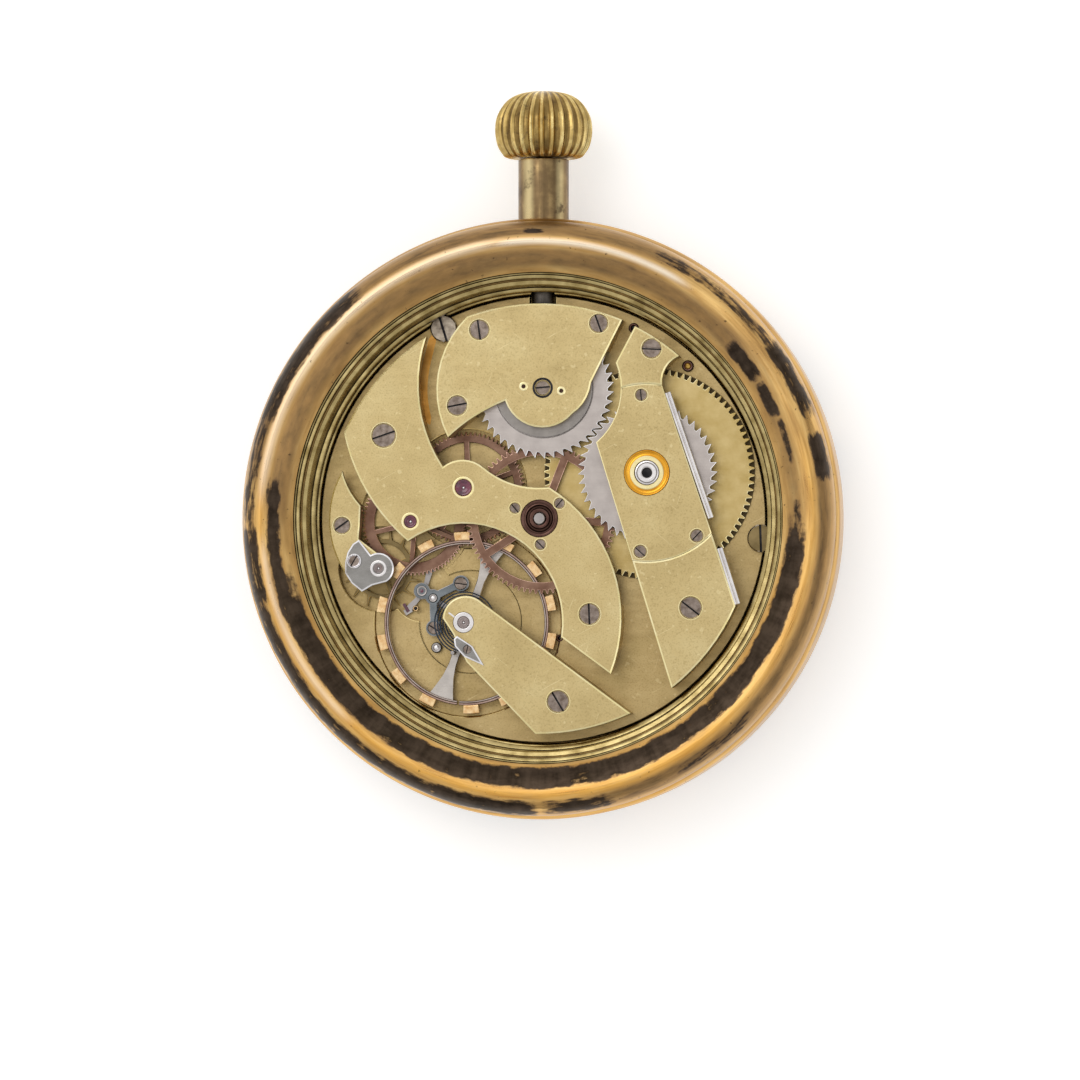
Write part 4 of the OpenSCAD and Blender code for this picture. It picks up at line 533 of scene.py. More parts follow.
def dressed(node, materials, edge=0.0, levels=None, smooth=30):
    # the CAD piece with its flats cleaned and their rims chamfered and polished, edge millimetres wide
    mesh = bpy.data.meshes.new(node + "_dressed")
    bm = bmesh.new()
    bm.from_mesh(nodes[node].data)
    bmesh.ops.remove_doubles(bm, verts=bm.verts, dist=0.0008 * mm)
    for face in bm.faces:
        face.material_index = 0
    tops = levels or [max(v.co.z for v in bm.verts) / mm]
    for top in tops if edge else ():
        flats = [f for f in bm.faces
                 if f.normal.z > 0.99 and all(abs(v.co.z / mm - top) < 0.004 for v in f.verts)]
        holes = roundHoles(flats)
        made = bmesh.ops.inset_region(bm, faces=flats, thickness=edge * mm, use_even_offset=True,
                                      use_boundary=True)
        kept = {v for f in flats for v in f.verts}
        outer = {v for f in made["faces"] for v in f.verts} - kept
        for face in made["faces"]:
            face.material_index = 1
            for side in face.edges:
                pair = [v for v in side.verts if v in outer]
                if len(pair) == 1 and placeOf(pair[0]) in holes:
                    side.other_vert(pair[0]).co = pair[0].co
        for vertex in outer:
            if placeOf(vertex) not in holes:
                vertex.co.z -= edge * 0.45 * mm  # the chamfer falls by 0.45 of its width
        bmesh.ops.remove_doubles(bm, verts=bm.verts, dist=0.0008 * mm)
    bm.to_mesh(mesh)
    bm.free()
    keep(node + "_dressed", mesh, materials, node, None, smooth)


# Case

caseSizes = {
    "steps": 288, "corner": 0.3,
    "bandBore": 21.7, "upperBore": 22.9, "caseR": 28.95, "bandZ": 4.4, "bandTop": 11.5, "plateTop": 8.0,
    "openR": 22.4, "ledgeR": 21.9, "seatR": 23.0, "wallR": 23.6, "wallRise": 1.9, "crestR": 26.6,
    "outerR": 28.6, "bezelTop": 14.6,
    # the narrow ledge and the stepped seat of the back cover: a radius and the distance out from it,
    # the rise above the band, and the finish: 1 dirt in a corner, 2 painted shadow, 3 a bright turned land
    "lands": [
        ("upperBore", -0.05, -2.7, 2), ("ledgeR", 0.1, -2.7, 1), ("ledgeR", 0, -2.6, 3),
        ("ledgeR", 0, -1.5, 3), ("ledgeR", 0.1, -1.42, 3), ("ledgeR", 0.36, -1.34, 3),
        ("ledgeR", 0.4, -1.5, 1), ("ledgeR", 0.45, -0.6, 3),
        ("openR", 0, 0.62, 3), ("openR", 0.1, 0.74, 3), ("seatR", -0.16, 0.8, 3), ("seatR", -0.1, 0.7, 1),
        ("seatR", 0, 0.74, 3), ("seatR", 0.06, 1.3, 3), ("seatR", 0.14, 1.36, 3), ("seatR", 0.34, 1.4, 3),
        ("seatR", 0.38, 1.28, 1), ("seatR", 0.43, 1.62, 3), ("wallR", -0.08, 1.68, 3),
        ("wallR", -0.03, 1.58, 1),
    ],
    "crystalR": 21.05, "crystalTop": 3.22, "lip": 0.8, "rollR": 3.0, "rollZ": 3.5,
}


def makeBand(s):
    bore, upper, radius, foot, top = s["bandBore"], s["upperBore"], s["caseR"], s["bandZ"], s["bandTop"]
    profile = rounded([(bore, foot), (radius - 0.6, foot), (radius, foot + 0.5), (radius, top - 0.7),
                       (radius - 0.5, top), (upper, top), (upper, s["plateTop"]), (bore, s["plateTop"])],
                      s["corner"])
    kinds = [int(r < upper + 0.2) for r, z in profile]
    make("case_band_turned", turnedFaces(profile, s["steps"], kinds=kinds), ["case_brass", "seat_brass"],
         "case_band")


def makeBackBezel(s):
    low, top = s["bandTop"], s["bezelTop"]
    lands = [(s[radius] + out, low + rise, kind) for radius, out, rise, kind in s["lands"]]
    foot, inside, outside = low + s["wallRise"], s["crestR"] - s["wallR"], s["outerR"] - s["crestR"]
    line = lands + [(s["wallR"] + inside * i / 14, foot + (top - foot) * math.sin(math.pi / 2 * i / 14), 0)
                    for i in range(15)]
    for a in range(84, -1, -6):
        out, rise = polar(1, a)
        line.append((s["crestR"] + outside * out, low + 0.5 + (top - low - 0.5) * rise, 0))
    line += [(s["outerR"], low, 1), (s["upperBore"] - 0.05, low, 1)]
    faces = turnedFaces([(r, z) for r, z, kind in line], s["steps"], kinds=[kind for r, z, kind in line])
    make("back_bezel_turned", faces, ["case_brass", "case_dirt", "case_shadow", "seat_brass"], "back_bezel")


def makeFrontBezel(s):
    seat, lip, top = s["crystalR"], s["crystalR"] - s["lip"], s["crystalTop"]
    edge = rounded([(lip, 1.3), (seat, 1.3), (seat, 0.7), (seat + 0.2, 0.5)], 0.08, 2, closed=False)
    roll = [polar(s["rollR"], a, (s["caseR"] - 3.4, s["rollZ"])) for a in range(-90, 1, 6)]
    back = [(s["caseR"] - 0.4, s["bandZ"]), (s["bandBore"], s["bandZ"]), (s["bandBore"], top), (lip, top)]
    make("front_bezel_turned", turnedFaces(edge + roll + back, s["steps"]), ["case_brass"], "front_bezel")


makeBand(caseSizes)
makeBackBezel(caseSizes)
makeFrontBezel(caseSizes)

pendantSizes = {"radius": 2.45, "bore": 1.0, "start": 28.2, "end": 34.9, "stemZ": 7.2, "steps": 72}


def alongStem(x, y, z):
    # turns an upright axis into the stem's: what was height becomes distance from the case centre
    return (x, z, pendantSizes["stemZ"] - y)


def makePendant(s):
    tube = rounded([(s["bore"], s["start"]), (s["radius"], s["start"]), (s["radius"], s["end"] - 0.02),
                    (s["bore"], s["end"])], 0.15)
    make("pendant_tube_turned", turnedFaces(tube, s["steps"], placed=alongStem), ["pendant"], "pendant_tube")


makePendant(pendantSizes)

crownSizes = {
    "start": 35.0, "flutes": 27, "depth": 0.34, "perFlute": 18, "rings": 44, "valley": 0.74, "bore": 0.83,
    "boreDepth": 3.0,
    # height above the start and radius, along the crown's outline
    "line": [(0.0, 3.3), (0.15, 3.75), (0.5, 4.05), (1.3, 4.5), (2.7, 4.73), (4.1, 4.52), (5.4, 3.72),
             (6.1, 2.7), (6.42, 1.5), (6.5, 0.6)],
}


def makeCrown(s):
    sides = s["flutes"] * s["perFlute"]
    turns = [polar(1, 360 * i / sides) for i in range(sides)]
    ribs = [abs(math.sin(math.pi * s["flutes"] * i / sides)) for i in range(sides)]
    valleys = [abs(math.sin(math.pi * s["flutes"] * (i + 0.5) / sides)) < s["valley"] for i in range(sides)]
    rings = [[alongStem(s["bore"] * c, s["bore"] * d, s["start"] + deep) for c, d in turns]
             for deep in (s["boreDepth"], 0)]
    for j in range(s["rings"] + 1):
        height, radius = onLine(s["line"], j / s["rings"])
        foot = 1 - min(1.0, (height + 0.05) / 0.5)  # the ribs end in round tips at the foot
        reach = [radius - s["depth"] * (1 - rib ** 4) * min(1.0, radius / 3.4) - foot * 0.5 * (1 - rib)
                 for rib in ribs]
        rings.append([alongStem(r * c, r * d, s["start"] + max(height, 0.0))
                      for r, (c, d) in zip(reach, turns)])
    faces = skinFaces(rings, lambda i, j: int(i > 1 and valleys[j]))
    make("crown_ribbed", faces, ["crown_brass", "crown_valley"], "crown", slot="crown_brass", smooth=60)


makeCrown(crownSizes)
print("case, pendant and crown made")


# Screws

screwSizes = {
    # height of the head, width and depth of its slot, and width of its polished rim
    "large": {"head": 0.45, "slot": 0.26, "deep": 0.2, "rim": 0.07},
    "small": {"head": 0.45, "slot": 0.17, "deep": 0.15, "rim": 0.05},
    "stud": {"head": 0.2, "slot": 0.13, "deep": 0.1, "rim": 0.05},
    "case": {"head": 0.6, "slot": 0.34, "deep": 0.3, "rim": 0.12},
}
seatRings = {
    # finish and width of the ring turned round the head's hole
    "gilt": ("polished_gilt", 0.13), "steel": ("steel_edge", 0.13),
    # painted shade: a flat dark ring stands for the shaded recess round the crown wheel's screw
    "recess": ("black_steel", 0.28),  # the crown wheel's screw stands in a wide dark recess
}
screws = {
    # place, head radius, top of the head's seat, slot angle, size and seat ring
    "bridge_screw": [
        (-5.8, 18.2, 0.95, 11.3, 98, "large", "gilt"), (5.75, 18.75, 0.88, 11.3, 110, "large", "gilt"),
        (-7.95, 10.9, 0.95, 11.3, 11, "large", "gilt"), (10.85, 16.3, 0.92, 11.3, 177, "large", "gilt"),
        (14.6, -8.6, 1.05, 11.3, 142, "large", "gilt"), (-15.1, 8.05, 1.15, 11.2, 19, "large", "gilt"),
        (4.85, -9.2, 1.0, 11.2, 92, "large", "gilt"), (1.85, -17.6, 1.05, 11.6, 121, "large", "gilt"),
    ],
    "small_screw": [
        (9.85, 11.85, 0.55, 11.3, 95, "small", "gilt"), (9.75, -3.2, 0.6, 11.3, 138, "small", "gilt"),
        (15.2, -1.7, 0.6, 11.3, 47, "small", "gilt"), (-2.35, 1.0, 0.5, 11.2, 130, "small", "gilt"),
        (1.95, 1.45, 0.5, 11.2, 50, "small", "gilt"), (0.1, -2.5, 0.5, 11.2, 135, "small", "gilt"),
        (-19.3, -0.6, 0.8, 10.1, 35, "large", "gilt"), (-18.05, -4.05, 0.55, 10.7, 60, "small", "steel"),
        (-7.95, -6.2, 0.6, 8.3, 172, "small", None), (-10.55, -10.5, 0.6, 8.3, 149, "small", None),
        (0.34, 12.57, 0.7, 11.3, 5, "large", "recess"), (-6.9, -12.6, 0.4, 11.85, 75, "stud", None),
    ],
    "case_screw": [(-9.6, 18.5, 1.3, 8.65, 107, "case", None), (21.2, -1.9, 1.35, 8.65, 92, "case", None)],
}
screwFinishes = {"case_screw_1": "case_screw_steel", "case_screw_2": "escape_brass"}  # all others are steel


def screwFaces(x, y, r, top, angle, s):
    # a cheese head with a chamfered rim and a real slot: 0 head, 1 polished rim, 2 slot painted dark as shade
    half, flat = s["slot"] / 2, r - s["rim"]
    low, floor, rim = top - s["head"], top - s["deep"], top - s["rim"] * 0.8
    turn = Matrix.Rotation(math.radians(angle), 2)

    def at(u, v, z):
        p = turn @ Vector((u, v))
        return (x + p.x, y + p.y, z)

    def arcOf(radius, side, z, parts=18):
        a0 = math.asin(half / radius)
        turns = [a0 + (math.pi - 2 * a0) * i / parts for i in range(parts + 1)]
        return [at(radius * math.cos(a), side * radius * math.sin(a), z) for a in turns]

    wide, narrow = math.sqrt(r * r - half * half), math.sqrt(flat * flat - half * half)
    faces = []
    for side in (1, -1):
        inner, outer, foot = arcOf(flat, side, top), arcOf(r, side, rim), arcOf(r, side, low)
        faces.append((inner, 0))
        for i in range(len(inner) - 1):
            faces.append(([inner[i], inner[i + 1], outer[i + 1], outer[i]], 1))
            faces.append(([outer[i], outer[i + 1], foot[i + 1], foot[i]], 0))
        v, end = side * half, side * wide
        faces.append(([at(wide, v, floor), at(wide, v, rim), at(narrow, v, top), at(-narrow, v, top),
                       at(-wide, v, rim), at(-wide, v, floor)], 2))
        faces.append(([at(end, half, floor), at(end, -half, floor), at(end, -half, low),
                       at(end, half, low)], 0))
    # painted light and shade: the slot's floor is dark up to this line and keeps the head's colour beyond it
    lit = -half * 0.2  # light catches the near side of the slot's floor
    for v0, v1, kind in ((half, lit, 2), (lit, -half, 0)):
        faces.append(([at(wide, v0, floor), at(-wide, v0, floor), at(-wide, v1, floor),
                       at(wide, v1, floor)], kind))
    faces.append(([at(*polar(r, a), low) for a in range(0, 360, 12)], 0))
    return faces


def seatRingFaces(x, y, r, top, width):
    # a low ring that stands just proud of the bridge, round a hole of radius r
    inner, outer = r + 0.025, r + 0.025 + width
    profile = [(inner, top - 0.12), (inner + 0.02, top - 0.02), (inner + 0.05, top + 0.012),
               (outer - 0.03, top + 0.012), (outer, top - 0.01), (outer, top - 0.12)]
    return turnedFaces(profile, 40, (x, y))


def makeScrews(kindName, places):
    for i, (x, y, r, top, angle, size, ring) in enumerate(places):
        name = f"{kindName}_{i + 1}"
        faces = screwFaces(x, y, r, top - 0.05, angle, screwSizes[size])
        make(name, faces, [screwFinishes.get(name, "screw_steel"), "steel_edge", "black_steel"],
             kindName + "s", fine=True)
        if ring:
            finish, width = seatRings[ring]
            make(f"{kindName}_seat_{i + 1}", seatRingFaces(x, y, r, top, width), [finish],
                 slot="bridge_gilt")


for kindName, places in screws.items():
    makeScrews(kindName, places)
print("screws made")


# Plate, bridges and wheels

wideEdge = 0.15  # width of the polished chamfer on the bridges
dressed("main_plate", ["plate_gilt", "edge_gilt"], 0.09, [8.0, 7.6])
for node, edge in (("barrel_bridge", wideEdge), ("arbor_plate", 0.09), ("crown_wheel_bridge", wideEdge),
                   ("train_bridge", wideEdge), ("balance_cock", wideEdge), ("escape_cock", 0.14)):
    dressed(node, ["bridge_gilt", "polished_gilt"], edge)
dressed("escape_cap", ["cap_steel", "steel_edge"], 0.14)
dressed("pallet_bridge", ["dark_steel", "steel"], 0.06)
dressed("stud_plate", ["cap_steel", "steel_edge"], 0.14)
print("plate and bridges dressed")

dressed("crown_wheel_seat", ["seat_steel", "steel"], 0.04)
for node in ("crown_wheel", "ratchet_wheel", "click"):
    dressed(node, ["wheel_steel", "steel_edge"], 0.04)
for node in ("centre_wheel", "third_wheel", "fourth_wheel"):
    dressed(node, ["rose_gilt", "rose_edge"], 0.035)
dressed("barrel_drum", ["drum_brass", "polished_gilt"], 0.05, [8.65, 8.95])
dressed("escape_wheel", ["escape_brass", "turned_gilt"], 0.03)
for node in ("third_pinion", "fourth_pinion", "escape_pinion", "balance_staff", "impulse_roller",
             "pallet_fork", "winding_pinion", "clutch_pinion", "setting_lever", "clutch_lever",
             "lever_spring", "cannon_pinion", "setting_wheel", "centre_arbor"):
    dressed(node, ["steel", "steel_edge"], 0.03)
for node in ("minute_wheel", "hour_wheel", "barrel_cover"):
    dressed(node, ["wheel_brass", "polished_gilt"], 0.03)
dressed("winding_stem", ["stem_steel", "steel"], 0.03)
dressed("mainspring", ["spring_steel"])
dressed("pallet_stones", ["ruby"])
print("wheels dressed")


# Click spring

clickSpring = {
    "top": 11.2, "bottom": 10.6, "runs": [((12.05, 11.95), (16.2, -0.1)), ((17.05, -3.0), (18.75, -8.35))],
    # the three leaves: reach across from the line, drop below the top, bevel
    "leaves": [(0.06, 0.33, 0, 0.05), (0.31, 0.41, 0.16, 0.02), (0.39, 0.66, 0.03, 0.05)],
}


def barFaces(a, b, near, far, low, top, bevel):
    # a straight strip beside the line from a to b, with polished bevels on its upper long edges
    a, b = Vector(a), Vector(b)
    along = (b - a).normalized()
    side = Vector((-along.y, along.x)) * (1 if along.y < 0 else -1)
    section = [(near, low), (far, low), (far, top - bevel), (far - bevel, top), (near + bevel, top),
               (near, top - bevel)]
    return skinFaces([[(*(p + side * u), z) for u, z in section] for p in (a, b)],
                     lambda i, j: int(j in (2, 4)))


def makeClickSpring(s):
    for i, (a, b) in enumerate(s["runs"]):
        faces = []
        for near, far, drop, bevel in s["leaves"]:
            faces += barFaces(a, b, near, far, s["bottom"], s["top"] - drop, bevel)
        make(f"click_spring_leaf_{i + 1}", faces, ["bright_steel", "steel_edge"], "click_spring", fine=True)


makeClickSpring(clickSpring)


# Balance

balance = {
    "at": (-7.3, -10.0), "arm": 71, "rim": 8.0, "seam": 7.76, "inner": 7.58, "low": 8.3, "high": 9.1,
    "rimStart": 13.9, "rimSpan": 178.2,  # each half of the rim starts so far from its arm and spans so far
    "armLow": 8.4, "armHigh": 8.85, "bevel": 0.06,
    # half width of an arm along its length
    "armLine": [(0.0, 0.42), (1.5, 0.36), (4.2, 0.38), (5.6, 0.55), (6.9, 0.95), (7.7, 1.25)],
    "hub": [(0.45, 8.38), (1.05, 8.38), (1.05, 8.9), (0.45, 8.9)],
    "blocks": 14, "blockStart": 22, "blockSpan": 150, "blockHalf": 5.0, "blockReach": 0.83,
}


def makeRim(s, half):
    inner, seam, outer, low, high, bevel = [s[k] for k in ("inner", "seam", "rim", "low", "high", "bevel")]
    profile = [(inner, low), (outer, low), (outer, high - bevel), (outer - bevel, high), (seam + 0.05, high),
               (seam + 0.02, high - bevel), (seam - 0.02, high - bevel), (seam - 0.05, high),
               (inner + 0.05, high), (inner, high - bevel)]
    kinds = [0, 0, 2, 0, 3, 3, 3, 1, 2, 1]  # 0 brass outside, 1 steel inside, 2 polished edges, 3 the seam
    start = s["arm"] + 180 * half + s["rimStart"]
    faces = sweptFaces(profile, start, start + s["rimSpan"], s["at"], 120, kinds)
    make(f"balance_rim_{half + 1}", faces, ["rim_brass", "rim_steel", "rim_steel", "rim_seam"],
         "balance_wheel", fine=True)


def makeArm(s, half):
    turn = Matrix.Rotation(math.radians(s["arm"] + 180 * half), 2)
    outline = s["armLine"] + [(r, -w) for r, w in reversed(s["armLine"])]
    flat = [turn @ Vector(p) + Vector(s["at"]) for p in outline]
    middle = sum(flat, Vector((0, 0))) / len(flat)
    top = [p + (middle - p).normalized() * s["bevel"] for p in flat]
    rings = [[(*p, z) for p in line] for line, z in (
        (flat, s["armLow"]), (flat, s["armHigh"] - s["bevel"]), (top, s["armHigh"]))]
    make(f"balance_arm_{half + 1}", skinFaces(rings, lambda i, j: i), ["arm_steel", "steel_edge"],
         "balance_wheel", fine=True)


def makeBlock(s, i):
    # a gold block clamped on the rim
    half, k = divmod(i, s["blocks"] // 2)
    aim = s["arm"] + 180 * half + s["blockStart"] + s["blockSpan"] / (s["blocks"] / 2 - 1) * k
    near, far, low, high = s["rim"] - 0.03, s["rim"] + s["blockReach"], s["low"] + 0.03, s["high"] - 0.03
    section = rounded([(near, low), (far, low), (far, high), (near, high)], 0.1)
    faces = sweptFaces(section, aim - s["blockHalf"], aim + s["blockHalf"], s["at"], 6)
    make(f"balance_block_{i + 1}", faces, ["gold"], "balance_screws", fine=True)


for half in (0, 1):
    makeRim(balance, half)
    makeArm(balance, half)
make("balance_hub", turnedFaces(rounded(balance["hub"], 0.06), 48, balance["at"]), ["arm_steel"],
     body="balance", slot=slotOf["balance_wheel"])
for i in range(balance["blocks"]):
    makeBlock(balance, i)

hairspring = {
    "inner": 0.75, "outer": 3.06, "turns": 8.5, "thick": 0.12, "low": 9.6, "high": 9.9, "aim": -110,
    "collet": [(0.47, 9.58), (0.78, 9.58), (0.78, 9.92), (0.47, 9.92)],
    "stud": [(0.0, 9.55), (0.2, 9.55), (0.2, 11.58), (0.0, 11.58)], "studR": 3.12,
}


def makeHairspring(s, at):
    # a flat steel ribbon wound edge up, finer and longer than the solid that stands for it
    steps, half = int(s["turns"] * 72), s["thick"] / 2
    rings = []
    for i in range(steps + 1):
        a = s["aim"] - 360 * s["turns"] * (1 - i / steps)
        r = s["inner"] + (s["outer"] - s["inner"]) * i / steps
        rings.append([(*polar(r + side, a, at), z) for side, z in (
            (-half, s["low"]), (half, s["low"]), (half, s["high"]), (-half, s["high"]))])
    collet = turnedFaces(rounded(s["collet"], 0.04), 40, at, kinds=[1])
    make("hairspring_coil", skinFaces(rings) + collet, ["spring_steel", "steel"], "hairspring", fine=True)
    studAt = polar(s["studR"], s["aim"], at)
    stud = turnedFaces(rounded(s["stud"], 0.04, closed=False), 24, studAt, closed=False)
    make("hairspring_stud", stud, ["steel"], slot="steel")


makeHairspring(hairspring, balance["at"])
print("balance and hairspring made")


# Jewels, bushes and pins

jewels = {
    # place, stone radius, top of the stone, ring radius, ring finish, and the node with its stone's finish
    "third": ((-7.357, 2.987), 0.8, 11.2, 1.12, "polished_gilt", "train_jewels", "ruby"),
    "fourth": ((-12.505, -0.267), 0.6, 11.2, 0.92, "polished_gilt", "train_jewels", "ruby"),
    "escape": ((-15.70, -4.77), 0.5, 10.5, 0.84, "bright_steel", "cap_jewels", "cap_stone"),
    "balance": ((-7.3, -10.0), 0.55, 11.6, 1.02, "bright_steel", "cap_jewels", "cap_stone"),
}


def makeJewel(name, at, r, top, ringR, finish, node, stoneFinish):
    # a stone with an oil cup round its hole, its setting and the pivot that runs in it
    cup = [(0.14, top - 0.5), (0.14, top - 0.2), (0.2, top - 0.15), (r * 0.55, top - 0.12),
           (r * 0.75, top - 0.04), (r * 0.92, top - 0.02), (r, top - 0.07), (r, top - 0.5)]
    make(f"jewel_{name}", turnedFaces(rounded(cup, 0.03), 40, at), [stoneFinish], node)
    ring = [(r + 0.01, top - 0.4), (r + 0.01, top - 0.06), (r + 0.07, top + 0.02),
            (ringR - 0.06, top + 0.02), (ringR, top - 0.05), (ringR, top - 0.4)]
    make(f"jewel_setting_{name}", turnedFaces(rounded(ring, 0.03), 48, at), [finish], slot="bridge_gilt")
    tip = rounded([(0.0, top - 0.5), (0.1, top - 0.5), (0.1, top - 0.2), (0.0, top - 0.17)], 0.03,
                  closed=False)
    make(f"pivot_{name}", turnedFaces(tip, 20, at, closed=False), ["bright_steel"], slot="steel")


for name, jewel in jewels.items():
    makeJewel(name, *jewel)

turned = {
    # finishes, then radius, height and finish of each line of the profile
    # an orange gold ring with a hollow and a bright inner step
    "barrel_chaton": (["chaton_gold", "polished_gilt"], [
        (1.2, 10.6, 0), (1.2, 11.32, 1), (1.24, 11.36, 1), (1.55, 11.36, 1), (1.62, 11.33, 0),
        (1.7, 11.27, 0), (1.84, 11.25, 0), (1.98, 11.29, 0), (2.08, 11.38, 0), (2.14, 11.385, 0),
        (2.2, 11.33, 0), (2.2, 10.6, 0)]),
    # the steel end of the barrel arbor, its hole painted black as shade
    "barrel_arbor_end": (["bright_steel", "black_steel", "steel"], [
        (0.0, 10.9, 1), (0.54, 10.9, 1), (0.54, 11.24, 0), (0.6, 11.28, 0), (0.66, 11.3, 0),
        (0.9, 11.3, 2), (0.96, 11.26, 2), (1.02, 11.3, 0), (1.12, 11.28, 0), (1.14, 10.7, 0),
        (0.0, 10.7, 1)]),
    # oil brown rings round the upper pivot of the centre arbor
    "centre_bush": (["bush_brown", "black_steel", "bush_dark"], [
        (0.62, 10.6, 1), (0.62, 11.08, 0), (0.7, 11.12, 0), (0.95, 11.1, 2), (1.05, 10.95, 2),
        (1.2, 10.95, 2), (1.28, 11.12, 0), (1.34, 11.17, 0), (1.44, 11.14, 2), (1.5, 11.17, 0),
        (1.62, 11.2, 0), (1.74, 11.2, 0), (1.8, 11.15, 0), (1.8, 10.6, 0)]),
    "centre_pivot_end": (["steel", "bright_steel"], [
        (0.0, 11.28, 0), (0.3, 11.28, 1), (0.36, 11.32, 1), (0.46, 11.32, 1), (0.52, 11.26, 0),
        (0.52, 10.6, 0), (0.0, 10.6, 0)]),
    # a steady pin beside the crown wheel screw
    "steady_pin": (["bush_dark", "polished_gilt"], [
        (0.0, 11.2, 0), (0.16, 11.2, 0), (0.2, 11.3, 1), (0.26, 11.33, 1), (0.36, 11.33, 1),
        (0.42, 11.31, 1), (0.42, 11.1, 0)]),
}


def makeTurned(name, kindName, at, steps=64, closed=True, **options):
    finishNames, profile = turned[kindName]
    faces = turnedFaces([(r, z) for r, z, kind in profile], steps, at, closed,
                        [kind for r, z, kind in profile])
    make(name, faces, finishNames, **options)


makeTurned("barrel_chaton", "barrel_chaton", barrelAt, node="arbor_bushes")
makeTurned("barrel_arbor_end", "barrel_arbor_end", barrelAt, closed=False, body="ratchet", slot="steel")
makeTurned("centre_bush", "centre_bush", (0, 0), node="arbor_bushes")
makeTurned("centre_pivot_end", "centre_pivot_end", (0, 0), closed=False, body="centre", slot="steel")
dressed("barrel_arbor", ["steel", "steel_edge"], 0.03)

pins = {
    # place, outer radius, foot, height, finishes of rim, ring and middle
    "stop_pin": ((8.85, 18.45), 0.5, 7.95, 0.35, ("bush_dark", "bush_brown", "black_steel")),
    "dial_foot_pin": ((14.1, 14.75), 0.56, 7.95, 0.4, ("bush_dark", "bush_brown", "turned_gilt")),
    # painted shade: plate_hole is a low dark disc standing for a hole in the plate
    "plate_hole": ((1.66, -11.5), 0.36, 7.95, 0.1, ("bush_dark", "bush_brown", "black_steel")),
    "banking_pin": ((-10.35, -12.4), 0.52, 7.5, 0.55, ("dark_steel", "steel", "bright_steel")),
    "banking_pin_small": ((-12.4, -8.6), 0.3, 7.5, 0.35, ("gold", "gold", "black_steel")),
    "fork_jewel_ring": ((-11.75, -6.92), 0.6, 8.1, 0.14, ("black_steel", "steel", "ruby")),
    "fork_arbor_end": ((-10.65, -7.6), 0.46, 8.1, 0.2, ("dark_steel", "steel", "bright_steel")),
}


def makePin(name, at, r, foot, height, used):
    top = foot + height
    profile = rounded([(0.0, top - 0.02), (r * 0.38, top - 0.05), (r * 0.46, top - 0.1),
                       (r * 0.56, top - 0.02), (r * 0.82, top), (r, top - 0.1), (r, foot)], 0.03, 2,
                      closed=False)
    kinds = [2 if radius < r * 0.46 else 1 if radius < r * 0.8 else 0 for radius, z in profile]
    make(name, turnedFaces(profile, 32, at, False, kinds), used, slot="steel")


for name, pin in pins.items():
    makePin(name, *pin)
for side, at in (("left", (-1.512, 12.715)), ("right", (2.138, 12.265))):
    makeTurned(f"steady_pin_{side}", "steady_pin", at, 28, False, slot="bridge_gilt")


bands = {
    # points along it, width, foot, top, finish, slot
    # a painted reflection of the train bridge's side wall, lying on the plate beside it
    "painted_wall_reflection": ([(-10.55, 18.1), (-10.95, 16.6), (-11.45, 14.4), (-11.6, 12.4), (-11.4, 10.6),
                  (-11.0, 9.2)], 0.75, 7.99, 8.02, "wall_reflection_gilt", "plate_gilt"),
    # painted shade: a dark strip standing for a slit in the plate
    "plate_slit": ([(1.62, -11.7), (1.5, -12.3), (1.45, -13.0)], 0.09, 7.99, 8.015, "bush_dark",
                   "dark_steel"),
    "cock_mark": ([(-8.75, -9.05), (-8.45, -9.25), (-8.15, -9.5)], 0.16, 11.56, 11.615, "bright_steel",
                  "steel"),
}


def makeStreak(name, line, width, foot, top, finish, slot, steps=40):
    # a flat band along a smooth run through the points, tapering to nothing at both ends
    rings = []
    for i in range(steps + 1):
        t = i / steps
        here, ahead, behind = [onLine(line, min(max(u, 0.0), 1.0)) for u in (t, t + 0.01, t - 0.01)]
        side = Vector((behind.y - ahead.y, ahead.x - behind.x)).normalized()
        side *= width / 2 * min(1.0, 8 * t + 0.1, 8 * (1 - t) + 0.1)
        rings.append([(*(here + side * k), z) for k, z in ((1, foot), (-1, foot), (-1, top), (1, top))])
    make(name, skinFaces(rings), [finish], slot=slot, fine=True)


for name, band in bands.items():
    makeStreak(name, *band)
print("jewels and bushes made")


# Dial side

dialSizes = {
    "face": 3.3, "layer": 0.012, "proud": 0.004, "numeral": 17.6, "tall": 2.3, "stroke": 0.34,
    "thin": 0.12, "splay": 0.42, "widths": {"I": 0.62, "V": 1.25, "X": 1.25},
    "trackIn": 19.6, "trackOut": 20.2, "trackLine": 0.04, "marks": (0.22, 0.09),
    "secondsAt": (-12.505, -0.267), "secondsR": 5.4, "secondsSunk": 0.12, "secondsMarks": (0.16, 0.07),
}


def printedStroke(a, b, width, low, top):
    # one printed stroke from a to b, in the dial's own flat
    a, b = Vector(a), Vector(b)
    side = Vector((-(b - a).y, (b - a).x)).normalized() * width / 2
    corners = (a + side, a - side, b - side, b + side)
    return skinFaces([[(*p, z) for p in corners] for z in (low, top)])


def numeralStrokes(value, s):
    # a Roman numeral as strokes about its own middle: across to the right, up outwards
    text = ["XII", "I", "II", "III", "IIII", "V", "VI", "VII", "VIII", "IX", "X", "XI"][value]
    total = sum(s["widths"][c] for c in text)
    at, strokes, high, splay = -total / 2, [], s["tall"] / 2, s["splay"]
    for c in text:
        mid = at + s["widths"][c] / 2
        if c == "I":
            strokes.append(((mid, -high), (mid, high), s["stroke"]))
        if c == "V":
            strokes.append(((mid - splay, high), (mid, -high), s["stroke"]))
            strokes.append(((mid + splay, high), (mid, -high), s["thin"]))
        if c == "X":
            strokes.append(((mid - splay, high), (mid + splay, -high), s["stroke"]))
            strokes.append(((mid + splay, high), (mid - splay, -high), s["thin"]))
        at += s["widths"][c]
    for edge in (high, -high):
        strokes.append(((-total / 2, edge), (total / 2, edge), s["thin"]))
    return strokes


